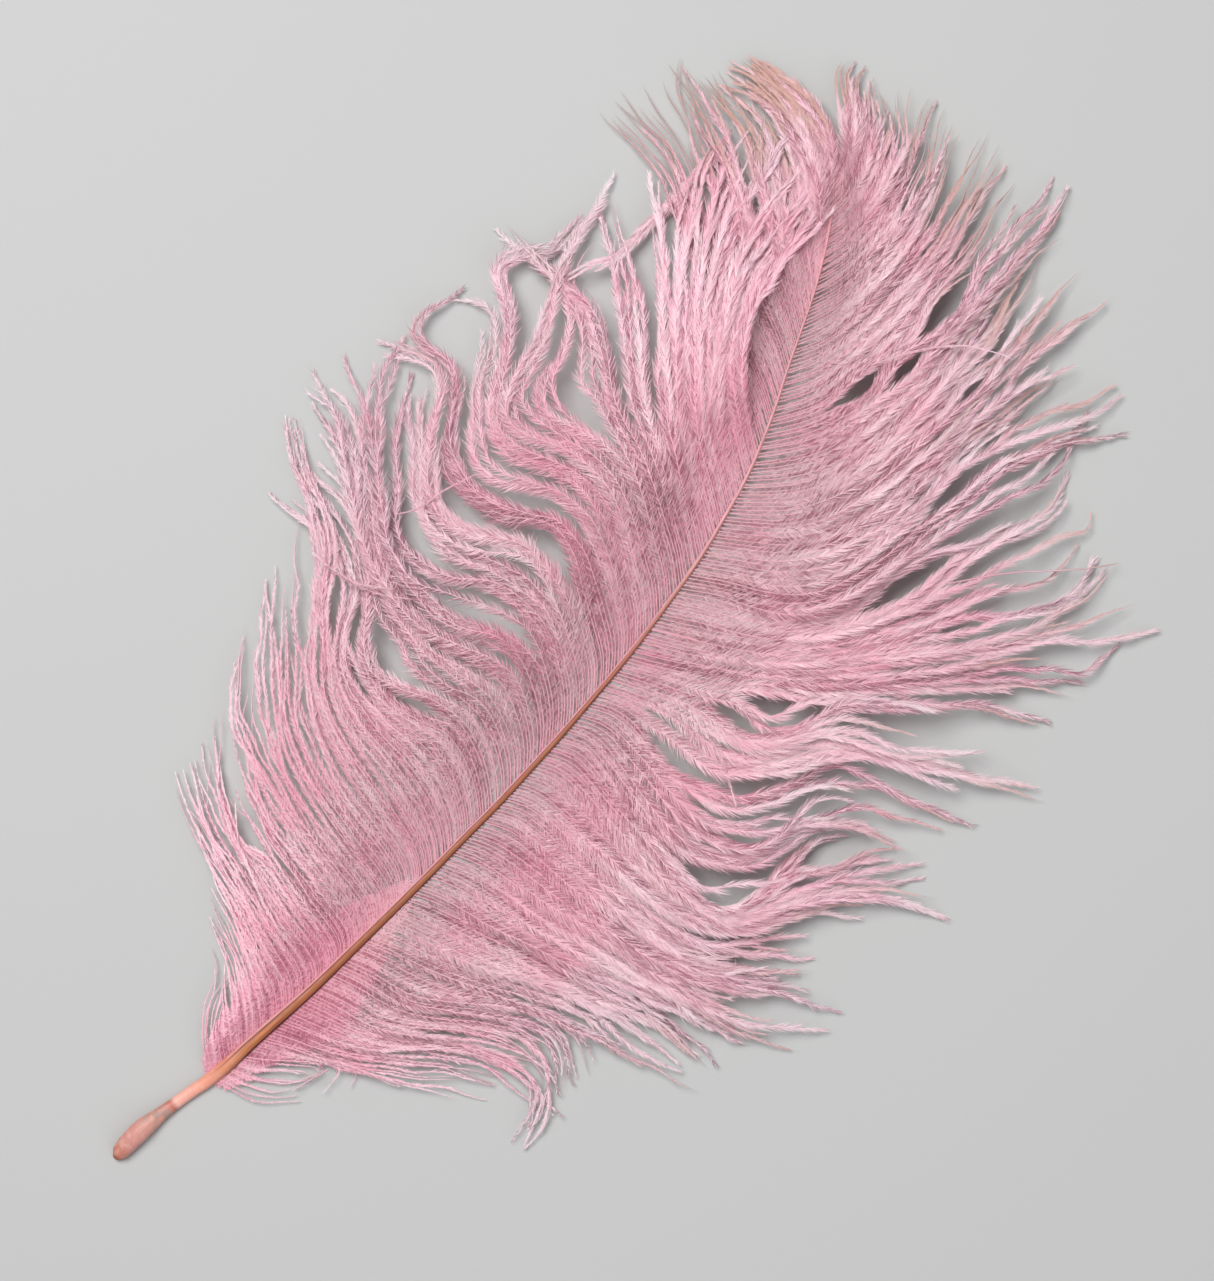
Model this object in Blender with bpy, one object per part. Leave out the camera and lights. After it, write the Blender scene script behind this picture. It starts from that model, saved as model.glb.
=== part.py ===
"""Dyed ostrich plume, lying flat: a quill and shaft with about eighty locks of soft barbs grown from it.

The tables are in millimetres and the model is in metres. The origin is under the shaft where the barbs start,
+Y runs towards the tip, +X is to the right of the shaft seen from above, and it lies on the surface z = 0.
"""

import math

import bmesh
import bpy
from mathutils import Vector

MM = 0.001

# Shaft: x, y and half width in millimetres, from the end of the quill to the tip of the feather.
SHAFT = [
    (-5.55, -22.2, 0.7), (-5.5, -21.7, 1.3), (-5.4, -20.6, 1.75), (-5.05, -18.2, 1.95), (-4.5, -15.6, 1.85),
    (-3.6, -12.6, 1.55), (-2.75, -10.0, 1.33), (-1.65, -6.6, 1.33), (-0.9, -4.2, 1.4), (0.4, 0.0, 1.3),
    (1.66, 5.7, 1.1), (3.1, 11.6, 1.0), (4.9, 18.3, 0.9), (6.6, 26.5, 0.8), (7.9, 35.8, 0.73),
    (8.95, 44.8, 0.67), (10.4, 53.3, 0.62), (12.1, 60.1, 0.58), (13.5, 72.5, 0.52), (14.5, 81.7, 0.47),
    (15.6, 90.7, 0.42), (16.2, 99.0, 0.4), (15.9, 110.4, 0.4), (15.2, 119.7, 0.4), (14.2, 127.9, 0.4),
    (11.9, 137.1, 0.4), (9.8, 143.5, 0.4), (7.9, 151.9, 0.4), (5.8, 158.4, 0.4), (1.8, 166.5, 0.4),
    (-2.2, 173.5, 0.4),
]
SHAFT_FLATNESS = 0.8        # height of the shaft as a share of its width
SHAFT_SUNK = 0.2            # how far the round underside is planed off flat, mm
SHAFT_RISE = 4.0            # how high the springy tip of the shaft stands off the surface, mm
SHAFT_RISE_FROM = 60.0      # where along Y the shaft starts to rise, mm

LOCK_HALF_WIDTH = 2.6       # of a lock at its widest, mm
LOCK_ROOT_HALF_WIDTH = 1.2  # where it leaves the shaft, mm
LOCK_TIP_HALF_WIDTH = 0.45  # at its free end, mm
LOCK_THICKNESS = 0.24       # thickness of a lock as a share of its width
LOCK_WIDEST_AT = 0.35       # share of the length
FULL_LENGTH = 45.0          # locks shorter than this are narrower in proportion, mm
LOCK_STAGGER = 1.6          # every second lock lies this much higher, so that they overlap like tiles, mm
TIP_HEIGHT = 0.25           # height of a lock's free end above the surface, mm
LONGEST_RUN = 14.0          # between two points of a lock's route, mm
BEND_KEPT = 0.45            # a route's point is left out where the bend it makes is smaller than this, mm

# Locks, in groups: the height that they arch to, then where each leaves the shaft along Y and the points that
# its route passes in x and y, all in mm.
LEFT_LOW = (3.5, [
    (-3.5, [(-3.0, -1.0), (-6.2, 2.4), (-8.4, 6.0), (-9.3, 10.0), (-10.4, 12.2), (-13.2, 14.5)]),
    (2.3, [(-1.8, 5.5), (-5.2, 9.8), (-9.5, 13.8), (-15.8, 18.2)]),
    (8.0, [(-0.8, 12.2), (-6.0, 16.4), (-12.5, 20.6), (-19.0, 23.6)]),
    (11.5, [(0.0, 15.4), (-6.0, 18.8), (-13.5, 22.8), (-21.0, 26.4), (-28.0, 30.4), (-33.7, 34.7)]),
    (18.5, [(2.0, 21.8), (-5.0, 24.8), (-13.0, 28.0), (-20.0, 31.2), (-26.0, 35.0), (-32.8, 41.2)]),
    (22.0, [(2.5, 25.0), (-5.0, 28.0), (-13.0, 31.0), (-19.5, 32.5), (-25.0, 35.5), (-29.0, 40.0),
            (-33.6, 47.2)]),
    (25.5, [(3.0, 28.6), (-4.0, 31.4), (-11.0, 33.8), (-16.0, 35.8), (-21.0, 39.4), (-25.0, 43.2),
            (-28.8, 46.4)]),
    (29.0, [(3.5, 32.3), (-4.0, 35.2), (-12.0, 38.0), (-19.0, 41.0), (-25.0, 43.5), (-31.0, 46.8),
            (-34.5, 52.0), (-38.3, 60.0)]),
    (32.5, [(4.0, 36.0), (-4.0, 38.8), (-12.0, 41.8), (-19.0, 45.0), (-24.0, 49.0), (-28.5, 54.0),
            (-33.5, 60.5), (-36.5, 65.5), (-40.2, 70.6)]),
    (36.5, [(4.5, 40.0), (-3.0, 43.0), (-11.0, 46.0), (-18.0, 49.3), (-23.5, 53.5), (-28.0, 59.0),
            (-32.0, 65.0), (-34.6, 69.0), (-36.4, 72.3)]),
])
LEFT_WAVY = (5.0, [
    (40.5, [(5.0, 44.2), (-2.0, 47.2), (-10.0, 50.3), (-17.0, 53.7), (-22.5, 58.0), (-27.0, 64.0),
            (-30.5, 70.0), (-34.5, 76.0), (-40.5, 81.5), (-46.5, 85.0), (-52.9, 91.0)]),
    (45.0, [(6.0, 48.5), (0.0, 52.0), (-7.0, 54.7), (-14.0, 57.0), (-20.0, 60.5), (-24.5, 65.5),
            (-28.0, 71.5), (-32.0, 77.5), (-38.0, 82.5), (-44.0, 85.5), (-51.4, 92.0)]),
    (49.5, [(7.0, 53.0), (2.0, 56.5), (-4.0, 58.8), (-11.0, 59.8), (-17.0, 62.0), (-22.0, 66.5),
            (-26.0, 73.0), (-31.0, 78.0), (-37.0, 79.3), (-42.0, 79.2), (-47.6, 79.4)]),
    (54.0, [(7.5, 57.7), (3.0, 61.0), (-2.0, 63.0), (-8.0, 63.3), (-14.0, 63.7), (-18.5, 66.0),
            (-22.0, 71.0), (-26.0, 77.0), (-31.0, 82.0), (-36.5, 85.2), (-41.0, 85.7), (-46.0, 86.5)]),
    (58.5, [(8.5, 62.0), (4.0, 65.6), (-1.0, 67.8), (-7.0, 67.2), (-13.0, 66.3), (-18.0, 67.8),
            (-22.0, 72.5), (-25.5, 77.0), (-30.0, 82.0), (-34.5, 85.5), (-38.0, 89.0), (-43.0, 92.0),
            (-49.7, 95.0)]),
    (63.0, [(9.3, 67.0), (5.0, 70.5), (0.0, 72.6), (-6.0, 72.0), (-12.0, 71.6), (-17.0, 74.0),
            (-22.5, 77.2), (-28.0, 80.8), (-33.0, 85.5), (-37.0, 90.0), (-41.0, 93.8), (-46.0, 96.2),
            (-51.7, 95.8)]),
    (67.3, [(10.0, 71.5), (5.5, 75.5), (0.5, 78.0), (-5.5, 77.8), (-12.0, 76.3), (-18.0, 77.0),
            (-24.0, 79.5), (-29.5, 84.0), (-34.5, 90.0), (-39.0, 95.5), (-43.5, 100.5), (-50.1, 104.8)]),
    (71.0, [(10.0, 76.0), (6.0, 80.0), (1.5, 82.8), (-4.0, 82.8), (-10.0, 80.8), (-16.0, 80.3),
            (-22.0, 81.5), (-28.0, 85.5), (-33.0, 91.0), (-37.0, 96.0), (-40.5, 101.0), (-42.5, 106.0),
            (-44.0, 113.0)]),
    (74.3, [(10.5, 79.2), (6.5, 83.2), (2.0, 86.6), (-3.0, 88.0), (-8.0, 87.4), (-13.0, 85.4),
            (-18.0, 84.3), (-23.0, 85.0), (-28.0, 88.0), (-32.0, 93.0), (-35.5, 98.0), (-37.6, 103.0),
            (-39.8, 108.8)]),
    (77.5, [(11.0, 82.0), (7.0, 85.7), (3.0, 89.0), (-2.0, 91.4), (-7.0, 91.8), (-12.0, 90.6),
            (-17.0, 89.3), (-22.0, 89.3), (-26.0, 92.0), (-29.5, 96.5), (-33.0, 101.0), (-35.5, 105.0),
            (-37.0, 109.3)]),
])
LEFT_HOOKED = (6.0, [
    (81.0, [(11.3, 85.5), (7.3, 89.0), (3.0, 92.2), (-2.0, 94.9), (-8.0, 96.0), (-13.0, 94.4),
            (-18.0, 92.9), (-23.0, 92.8), (-27.0, 96.0), (-30.0, 100.0), (-32.5, 105.0), (-34.0, 109.0),
            (-37.0, 111.6), (-41.5, 111.2), (-47.3, 109.6)]),
    (85.0, [(11.8, 89.3), (7.5, 93.0), (3.3, 96.4), (-1.5, 99.4), (-7.0, 100.5), (-12.0, 99.0),
            (-17.0, 97.8), (-22.0, 97.7), (-26.5, 100.5), (-29.5, 105.0), (-31.5, 110.0), (-35.0, 113.4),
            (-39.5, 113.2), (-43.0, 114.0), (-43.4, 117.5), (-41.5, 121.0), (-39.8, 125.9)]),
    (89.5, [(12.0, 94.0), (7.5, 98.0), (3.0, 101.5), (-2.0, 104.3), (-7.0, 105.0), (-12.0, 103.8),
            (-16.0, 102.4), (-21.0, 102.2), (-25.0, 104.5), (-28.0, 109.0), (-30.0, 114.0), (-31.5, 119.5),
            (-34.0, 123.0), (-38.0, 123.4), (-41.0, 121.5)]),
    (93.5, [(12.0, 98.0), (7.5, 101.8), (3.0, 105.4), (-2.0, 108.7), (-7.0, 110.0), (-12.0, 109.4),
            (-18.0, 107.8), (-23.0, 108.6), (-26.5, 113.0), (-28.5, 118.5), (-31.0, 124.0), (-34.5, 127.5),
            (-37.3, 130.0), (-35.8, 133.7), (-32.8, 136.5), (-31.7, 141.0), (-31.6, 145.7)]),
    (100.5, [(12.0, 104.6), (7.5, 108.2), (2.5, 112.3), (-3.0, 115.8), (-9.0, 116.6), (-14.0, 115.7),
             (-18.5, 115.4), (-20.8, 118.5), (-21.0, 124.0), (-22.5, 129.0), (-26.0, 132.7), (-28.6, 137.0),
             (-29.3, 142.0), (-29.3, 147.5)]),
    (104.0, [(12.0, 107.8), (7.5, 111.3), (3.0, 114.8), (-2.0, 118.0), (-7.0, 120.3), (-12.0, 123.8),
             (-16.5, 128.0), (-21.5, 131.8), (-28.0, 133.5), (-35.0, 134.5), (-42.3, 135.8)]),
    (108.0, [(11.5, 111.7), (7.0, 115.2), (2.0, 119.0), (-4.0, 123.0), (-9.0, 127.3), (-14.0, 133.0),
             (-18.5, 138.5), (-23.0, 143.2), (-27.0, 147.0), (-30.0, 149.7)]),
])
LEFT_FOLDED = (10.0, [
    (116.0, [(11.0, 119.5), (5.0, 124.0), (0.0, 129.5), (-4.5, 136.0), (-9.0, 143.0), (-13.5, 150.0),
             (-17.5, 157.0), (-20.0, 163.0), (-21.0, 169.5)]),
    (120.0, [(10.0, 124.0), (4.5, 128.5), (0.0, 134.0), (-3.5, 140.0), (-7.0, 146.5), (-10.0, 153.0),
             (-12.0, 160.0), (-12.8, 167.0), (-16.0, 173.5)]),
    (124.0, [(9.5, 128.0), (4.5, 132.0), (0.5, 137.0), (-2.5, 143.0), (-5.5, 150.0), (-7.0, 157.0),
             (-7.0, 164.0), (-8.0, 171.0), (-12.0, 176.0), (-19.0, 178.8), (-26.3, 178.0)]),
    (128.0, [(9.0, 131.5), (5.0, 135.0), (1.5, 140.0), (-1.0, 146.0), (-3.0, 153.0), (-3.5, 160.0),
             (-3.5, 167.0), (-5.0, 173.0), (-9.5, 178.0), (-16.0, 180.5), (-23.2, 180.8)]),
])
LEFT_UNDER = (4.0, [
    (132.0, [(8.5, 135.5), (3.0, 139.0), (-3.0, 142.3), (-9.0, 146.5), (-14.5, 151.0), (-19.5, 155.5),
             (-24.5, 159.3), (-30.0, 160.9), (-37.3, 162.4)]),
    (136.5, [(7.5, 139.6), (2.0, 142.8), (-4.0, 146.0), (-10.0, 150.5), (-16.0, 155.0), (-22.0, 159.5),
             (-27.5, 162.5), (-33.0, 163.7), (-38.4, 165.4)]),
    (141.0, [(6.5, 144.0), (1.0, 147.0), (-5.0, 150.8), (-11.0, 155.3), (-17.0, 160.0), (-22.5, 164.0),
             (-27.0, 168.0), (-30.5, 171.0), (-33.1, 175.5)]),
    (146.0, [(5.2, 149.0), (-0.5, 152.3), (-6.5, 156.7), (-12.5, 161.5), (-18.5, 166.0), (-24.0, 169.0),
             (-29.0, 171.0), (-34.6, 173.3)]),
    (156.5, [(3.0, 160.0), (-1.5, 164.0), (-5.5, 169.0), (-9.5, 174.0), (-14.5, 177.5), (-20.0, 180.0),
             (-25.8, 180.6)]),
    (162.0, [(1.2, 166.0), (-1.5, 171.0), (-3.0, 176.0), (-5.3, 180.5), (-8.5, 184.0), (-12.8, 187.0)]),
    (166.5, [(-0.3, 172.0), (-1.8, 177.0), (-4.0, 182.0), (-7.0, 186.0), (-10.2, 190.7)]),
    (171.0, [(-2.0, 177.0), (-3.2, 181.0), (-4.6, 185.5), (-6.0, 190.5)]),
])
RIGHT_LOW = (4.0, [
    (-3.2, [(4.0, -2.5), (8.0, -1.5), (11.0, 0.5), (13.6, 2.4)]),
    (2.5, [(5.0, 4.8), (9.0, 7.6), (12.5, 9.4), (13.6, 8.0), (11.0, 3.0)]),
    (5.5, [(6.0, 7.4), (11.0, 9.5), (17.0, 11.5), (24.0, 14.0), (30.0, 17.2), (37.9, 20.0)]),
    (12.5, [(8.0, 13.6), (14.0, 15.2), (20.0, 18.0), (26.0, 21.7), (32.0, 24.3), (39.0, 25.7),
            (49.8, 25.4)]),
    (16.5, [(9.0, 17.4), (15.0, 18.4), (21.0, 20.9), (27.0, 24.2), (33.0, 26.5), (39.0, 27.0), (43.3, 25.5),
            (44.2, 21.5), (44.8, 16.2)]),
    (20.5, [(10.0, 21.5), (16.0, 22.2), (22.0, 24.6), (28.0, 28.2), (34.0, 30.8), (39.5, 31.0),
            (43.5, 28.5), (46.0, 24.5), (46.9, 20.5), (46.7, 16.2)]),
    (26.0, [(11.0, 27.1), (18.0, 28.3), (25.0, 31.0), (31.0, 34.0), (37.0, 36.2), (42.0, 36.0),
            (45.0, 34.0), (47.9, 31.5)]),
    (28.5, [(11.0, 29.6), (18.0, 30.8), (24.0, 32.3), (30.0, 34.7), (37.0, 37.0), (44.0, 37.8),
            (53.0, 38.5), (60.0, 39.2), (67.6, 40.4)]),
    (33.5, [(12.0, 34.8), (19.0, 36.2), (27.0, 38.4), (34.0, 40.3), (41.0, 42.0), (48.0, 42.9),
            (54.0, 42.7), (59.8, 42.1)]),
    (38.5, [(13.0, 39.9), (21.0, 41.3), (29.0, 42.6), (36.0, 43.6), (43.0, 45.0), (50.0, 46.8),
            (57.0, 46.8), (65.0, 45.6)]),
    (42.0, [(13.8, 43.3), (22.0, 44.3), (30.0, 45.3), (38.0, 46.2), (46.0, 48.0), (53.0, 49.3),
            (60.0, 49.8), (66.4, 50.5)]),
    (46.0, [(14.8, 47.3), (23.0, 47.9), (31.0, 48.2), (39.0, 49.0), (47.0, 50.3), (54.0, 51.3),
            (61.0, 51.2), (67.0, 52.4), (74.4, 55.2)]),
    (50.0, [(15.5, 51.3), (24.0, 51.6), (33.0, 51.7), (42.0, 52.0), (51.0, 52.7), (59.0, 53.0),
            (66.0, 54.6), (71.5, 57.3), (76.2, 60.6)]),
])
RIGHT_MIDDLE = (5.0, [
    (53.5, [(16.0, 55.0), (25.0, 55.2), (34.0, 54.7), (43.0, 54.5), (51.0, 55.0), (58.0, 57.2),
            (64.0, 60.0), (69.5, 62.3), (76.2, 64.3)]),
    (60.3, [(16.8, 61.8), (26.0, 61.0), (35.0, 60.0), (43.0, 59.0), (50.0, 59.5), (56.0, 62.7),
            (61.5, 66.0), (67.3, 69.0)]),
    (63.3, [(17.0, 64.5), (26.0, 63.8), (35.0, 62.9), (44.0, 62.4), (51.0, 63.8), (56.5, 67.5),
            (60.5, 72.5), (65.0, 77.5), (70.5, 80.9)]),
    (66.0, [(17.5, 67.2), (27.0, 65.7), (36.0, 64.6), (44.0, 64.2), (51.0, 65.7), (56.0, 69.3),
            (60.0, 74.3), (64.5, 79.0), (69.5, 82.5), (75.0, 84.7), (82.0, 86.3)]),
    (70.7, [(18.4, 71.9), (28.0, 69.8), (36.0, 67.9), (43.0, 66.7), (49.0, 67.6), (52.7, 70.5),
            (54.3, 75.0), (56.0, 80.0), (58.8, 84.8), (62.9, 89.1)]),
    (76.0, [(19.0, 77.0), (28.0, 74.2), (35.0, 72.3), (41.0, 71.6), (46.0, 73.0), (50.0, 77.0),
            (53.0, 82.0), (55.5, 87.0), (59.0, 90.0), (63.5, 91.0), (68.2, 92.2)]),
    (78.5, [(19.3, 79.8), (28.0, 78.0), (35.0, 76.0), (41.5, 75.5), (46.5, 77.3), (50.0, 81.5),
            (52.7, 86.5), (56.0, 90.5), (61.0, 93.0), (67.0, 95.0), (74.2, 97.4)]),
    (81.5, [(19.5, 83.0), (27.5, 82.0), (35.0, 81.0), (41.0, 82.0), (45.5, 85.7), (49.0, 90.3),
            (52.5, 94.3), (57.5, 97.0), (63.5, 98.3), (69.5, 99.5), (75.7, 100.9)]),
    (84.0, [(19.8, 85.5), (27.5, 86.0), (34.0, 85.7), (39.5, 87.3), (44.0, 91.5), (48.0, 96.0),
            (53.0, 99.7), (59.0, 102.0), (65.0, 104.4), (71.0, 106.7), (77.5, 109.2), (84.2, 110.9)]),
])
RIGHT_SWEPT = (6.5, [
    (86.0, [(20.0, 87.6), (27.5, 89.2), (33.5, 89.8), (39.0, 91.5), (43.0, 95.0), (47.0, 99.3),
            (52.0, 101.8), (58.0, 103.0), (63.5, 105.0), (69.0, 109.0), (73.5, 113.0), (77.6, 117.3)]),
    (90.0, [(20.3, 92.0), (27.5, 94.8), (33.0, 97.6), (39.0, 101.2), (45.0, 105.0), (51.0, 109.8),
            (57.0, 114.9), (63.0, 119.6), (69.0, 123.3), (73.5, 125.4), (77.8, 126.4)]),
    (91.7, [(20.5, 93.8), (27.5, 96.8), (33.5, 99.6), (40.0, 103.3), (47.0, 108.3), (54.0, 114.3),
            (60.5, 120.3), (66.5, 125.7), (72.0, 129.0), (76.5, 131.0), (78.5, 135.0), (78.8, 139.7)]),
    (93.5, [(21.0, 95.7), (28.0, 98.7), (34.0, 101.5), (40.0, 105.4), (46.5, 110.5), (53.0, 116.5),
            (59.0, 122.3), (64.5, 128.0), (69.0, 133.0), (75.0, 137.8), (82.3, 144.5)]),
    (95.3, [(21.0, 97.5), (28.0, 100.4), (34.0, 103.3), (40.0, 107.5), (46.0, 112.8), (52.0, 118.8),
            (57.5, 124.5), (63.0, 130.0), (67.5, 135.5), (70.5, 141.0), (71.6, 149.0)]),
    (98.7, [(21.3, 101.1), (28.0, 103.8), (34.0, 106.6), (39.5, 110.8), (44.5, 116.3), (49.5, 122.8),
            (54.0, 129.0), (58.5, 134.5), (62.3, 138.8), (64.0, 143.0), (64.3, 148.4)]),
    (100.5, [(21.5, 103.2), (28.0, 105.4), (34.0, 108.0), (39.0, 112.0), (43.5, 117.7), (47.5, 124.0),
             (51.0, 130.5), (54.5, 136.5), (58.0, 142.0), (61.5, 147.0), (63.8, 150.5), (62.2, 154.5)]),
])
RIGHT_UPPER = (6.0, [
    (104.7, [(21.5, 107.5), (27.0, 109.0), (32.0, 111.0), (36.0, 114.0), (39.3, 119.0), (41.7, 125.5),
             (43.8, 132.0), (45.8, 138.0), (48.3, 143.5), (51.0, 148.0), (53.7, 152.0), (54.6, 156.5),
             (53.6, 161.5), (52.8, 166.3)]),
    (107.0, [(21.3, 109.7), (26.5, 111.5), (31.3, 114.0), (35.0, 117.5), (38.0, 122.7), (40.2, 129.0),
             (42.0, 136.0), (43.8, 142.5), (46.2, 148.5), (49.0, 153.5), (51.8, 158.0), (55.0, 161.8),
             (60.2, 166.5)]),
    (109.5, [(21.0, 112.0), (26.0, 114.0), (30.5, 117.0), (34.0, 121.0), (36.8, 126.5), (38.8, 133.0),
             (40.3, 140.0), (41.7, 147.0), (43.5, 153.5), (46.3, 159.0), (49.8, 163.5), (52.8, 168.0),
             (54.2, 173.3)]),
    (115.0, [(20.3, 117.7), (24.8, 120.2), (28.8, 124.0), (31.8, 129.0), (34.0, 135.3), (35.8, 142.5),
             (37.2, 150.0), (38.7, 157.5), (40.0, 164.5), (41.8, 171.5), (43.6, 178.0), (45.5, 184.0)]),
    (118.0, [(19.8, 120.8), (24.0, 123.6), (27.8, 127.8), (30.5, 133.0), (32.5, 139.5), (34.0, 147.0),
             (35.2, 155.0), (36.0, 163.0), (36.8, 171.0), (37.3, 178.0), (38.5, 184.3)]),
    (124.5, [(18.4, 127.6), (22.0, 131.0), (25.0, 135.8), (27.2, 141.8), (28.7, 149.0), (29.4, 157.0),
             (29.7, 165.0), (30.0, 173.0), (31.0, 180.0), (33.2, 187.5)]),
    (128.0, [(17.4, 131.2), (20.8, 135.0), (23.6, 140.0), (25.6, 146.3), (26.9, 153.5), (27.6, 161.5),
             (28.2, 170.0), (29.3, 178.0), (30.2, 186.0), (29.7, 194.0)]),
])
RIGHT_TOP = (5.0, [
    (135.0, [(15.2, 138.5), (18.0, 142.8), (20.2, 148.3), (21.8, 155.0), (22.6, 162.8), (22.7, 171.0),
             (22.2, 178.0), (21.6, 183.5), (22.3, 189.5)]),
    (143.0, [(12.6, 146.8), (14.8, 151.6), (16.5, 158.0), (17.4, 165.5), (17.7, 173.5), (17.3, 181.0),
             (16.9, 187.0), (16.6, 193.2)]),
    (151.0, [(9.9, 155.5), (11.5, 161.0), (12.5, 168.0), (12.6, 176.0), (11.4, 183.0), (9.6, 188.0),
             (8.3, 191.6)]),
    (160.0, [(6.6, 164.8), (7.6, 171.0), (7.5, 178.0), (5.8, 185.0), (3.5, 193.0)]),
    (168.5, [(2.4, 173.0), (2.0, 178.0), (-0.5, 183.0), (-3.0, 187.5)]),
])
GROUPS = [LEFT_LOW, LEFT_WAVY, LEFT_HOOKED, LEFT_FOLDED, LEFT_UNDER,
          RIGHT_LOW, RIGHT_MIDDLE, RIGHT_SWEPT, RIGHT_UPPER, RIGHT_TOP]

PINK = (0.83, 0.38, 0.48, 1.0)
BROWN = (0.50, 0.20, 0.07, 1.0)


def clear_scene():
    """Removes every object and collection, so that the script can be run again."""
    for obj in list(bpy.data.objects):
        bpy.data.objects.remove(obj, do_unlink=True)
    for collection in list(bpy.data.collections):
        bpy.data.collections.remove(collection)


def material(name, colour, roughness):
    """Returns a Principled material."""
    mat = bpy.data.materials.new(name)
    mat.use_nodes = True
    shader = mat.node_tree.nodes["Principled BSDF"]
    shader.inputs["Base Color"].default_value = colour
    shader.inputs["Roughness"].default_value = roughness
    shader.inputs["Metallic"].default_value = 0.0
    return mat


def shaft_point(y):
    """Returns x, half width and height of the middle of the shaft at y, all in mm."""
    rows = SHAFT
    if y <= rows[0][1]:
        x, half = rows[0][0], rows[0][2]
    for low, high in zip(rows, rows[1:]):
        if low[1] <= y <= high[1]:
            share = (y - low[1]) / (high[1] - low[1])
            x = low[0] + share * (high[0] - low[0])
            half = low[2] + share * (high[2] - low[2])
    along = max(0.0, (y - SHAFT_RISE_FROM) / (rows[-1][1] - SHAFT_RISE_FROM))
    height = half * SHAFT_FLATNESS - SHAFT_SUNK + SHAFT_RISE * along * along
    return x, half, height


def profile(name, sides, height):
    """Returns a closed curve object one unit wide to each side: the section that is run along a route."""
    curve = bpy.data.curves.new(name, "CURVE")
    curve.dimensions = "2D"
    spline = curve.splines.new("POLY")
    spline.points.add(sides - 1)
    for index, point in enumerate(spline.points):
        angle = 2 * math.pi * index / sides
        point.co = (math.cos(angle), height * math.sin(angle), 0.0, 1.0)
    spline.use_cyclic_u = True
    obj = bpy.data.objects.new(name, curve)
    bpy.context.scene.collection.objects.link(obj)
    return obj


def run_along(name, route, section, mat, collection):
    """Returns a closed mesh: the section run along a route of (x, y, z, half width) in mm."""
    curve = bpy.data.curves.new(name, "CURVE")
    curve.dimensions = "3D"
    curve.twist_mode = "Z_UP"
    curve.bevel_mode = "OBJECT"
    curve.bevel_object = section
    curve.use_fill_caps = True
    spline = curve.splines.new("POLY")
    spline.points.add(len(route) - 1)
    for point, (x, y, z, half) in zip(spline.points, route):
        point.co = (x * MM, y * MM, z * MM, 1.0)
        point.radius = half * MM
    tube = bpy.data.objects.new(name + "_route", curve)
    bpy.context.scene.collection.objects.link(tube)
    evaluated = tube.evaluated_get(bpy.context.evaluated_depsgraph_get())
    mesh = bpy.data.meshes.new_from_object(evaluated)
    bpy.data.objects.remove(tube, do_unlink=True)
    bm = bmesh.new()
    bm.from_mesh(mesh)
    bmesh.ops.remove_doubles(bm, verts=bm.verts, dist=0.001 * MM)
    bmesh.ops.recalc_face_normals(bm, faces=bm.faces)
    bm.to_mesh(mesh)
    bm.free()
    mesh.materials.clear()
    mesh.materials.append(mat)
    obj = bpy.data.objects.new(name, mesh)
    collection.objects.link(obj)
    return obj


def keep_bends(points):
    """Returns the points of a route without those that lie within BEND_KEPT of a straight run."""
    first = points[0]
    last = points[-1]
    along = (last - first).normalized()
    far = 0.0
    split = 0
    for index in range(1, len(points) - 1):
        step = points[index] - first
        off = abs(along.x * step.y - along.y * step.x)
        if off > far:
            far = off
            split = index
    if far < BEND_KEPT:
        return [first, last]
    return keep_bends(points[:split + 1])[:-1] + keep_bends(points[split:])


def fill_long_runs(points):
    """Returns the route with a point in the middle of each straight run that is too long to arch smoothly."""
    filled = [points[0]]
    for low, high in zip(points, points[1:]):
        parts = max(1, round((high - low).length / LONGEST_RUN))
        for part in range(1, parts + 1):
            filled.append(low.lerp(high, part / parts))
    return filled


def lock_route(leaves_at, points, arch):
    """Returns the route of one lock: from the middle of the shaft over its arch and down to the surface."""
    root_x, _, root_z = shaft_point(leaves_at)
    flat = [Vector((root_x, leaves_at))] + [Vector(point) for point in points]
    flat = fill_long_runs(keep_bends(flat))
    gone = [0.0]
    for low, high in zip(flat, flat[1:]):
        gone.append(gone[-1] + (high - low).length)
    length = gone[-1]
    size = min(1.0, length / FULL_LENGTH)
    route = []
    for point, distance in zip(flat, gone):
        share = distance / length
        if share < LOCK_WIDEST_AT:
            half = LOCK_ROOT_HALF_WIDTH + (LOCK_HALF_WIDTH - LOCK_ROOT_HALF_WIDTH) * share / LOCK_WIDEST_AT
        else:
            left = (1 - share) / (1 - LOCK_WIDEST_AT)
            half = LOCK_TIP_HALF_WIDTH + (LOCK_HALF_WIDTH - LOCK_TIP_HALF_WIDTH) * left ** 0.8
        half = max(LOCK_TIP_HALF_WIDTH, half * size)
        height = root_z + (TIP_HEIGHT - root_z) * share
        height += arch * size * math.sin(math.pi * share ** 0.6)
        route.append((point.x, point.y, height, half))
    return route


def grow_locks(section, mat, collection):
    """Makes every lock of both vanes in the given collection."""
    count = 0
    for arch, locks in GROUPS:
        for leaves_at, points in locks:
            raised = arch + LOCK_STAGGER * (count % 2)
            run_along(f"lock_{count}", lock_route(leaves_at, points, raised), section, mat, collection)
            count += 1


def grow_shaft(section, mat, collection):
    """Returns the quill and shaft in one tube."""
    route = []
    for x, y, half in SHAFT:
        route.append((x, y, shaft_point(y)[2], half))
    return run_along("feather", route, section, mat, collection)


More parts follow.
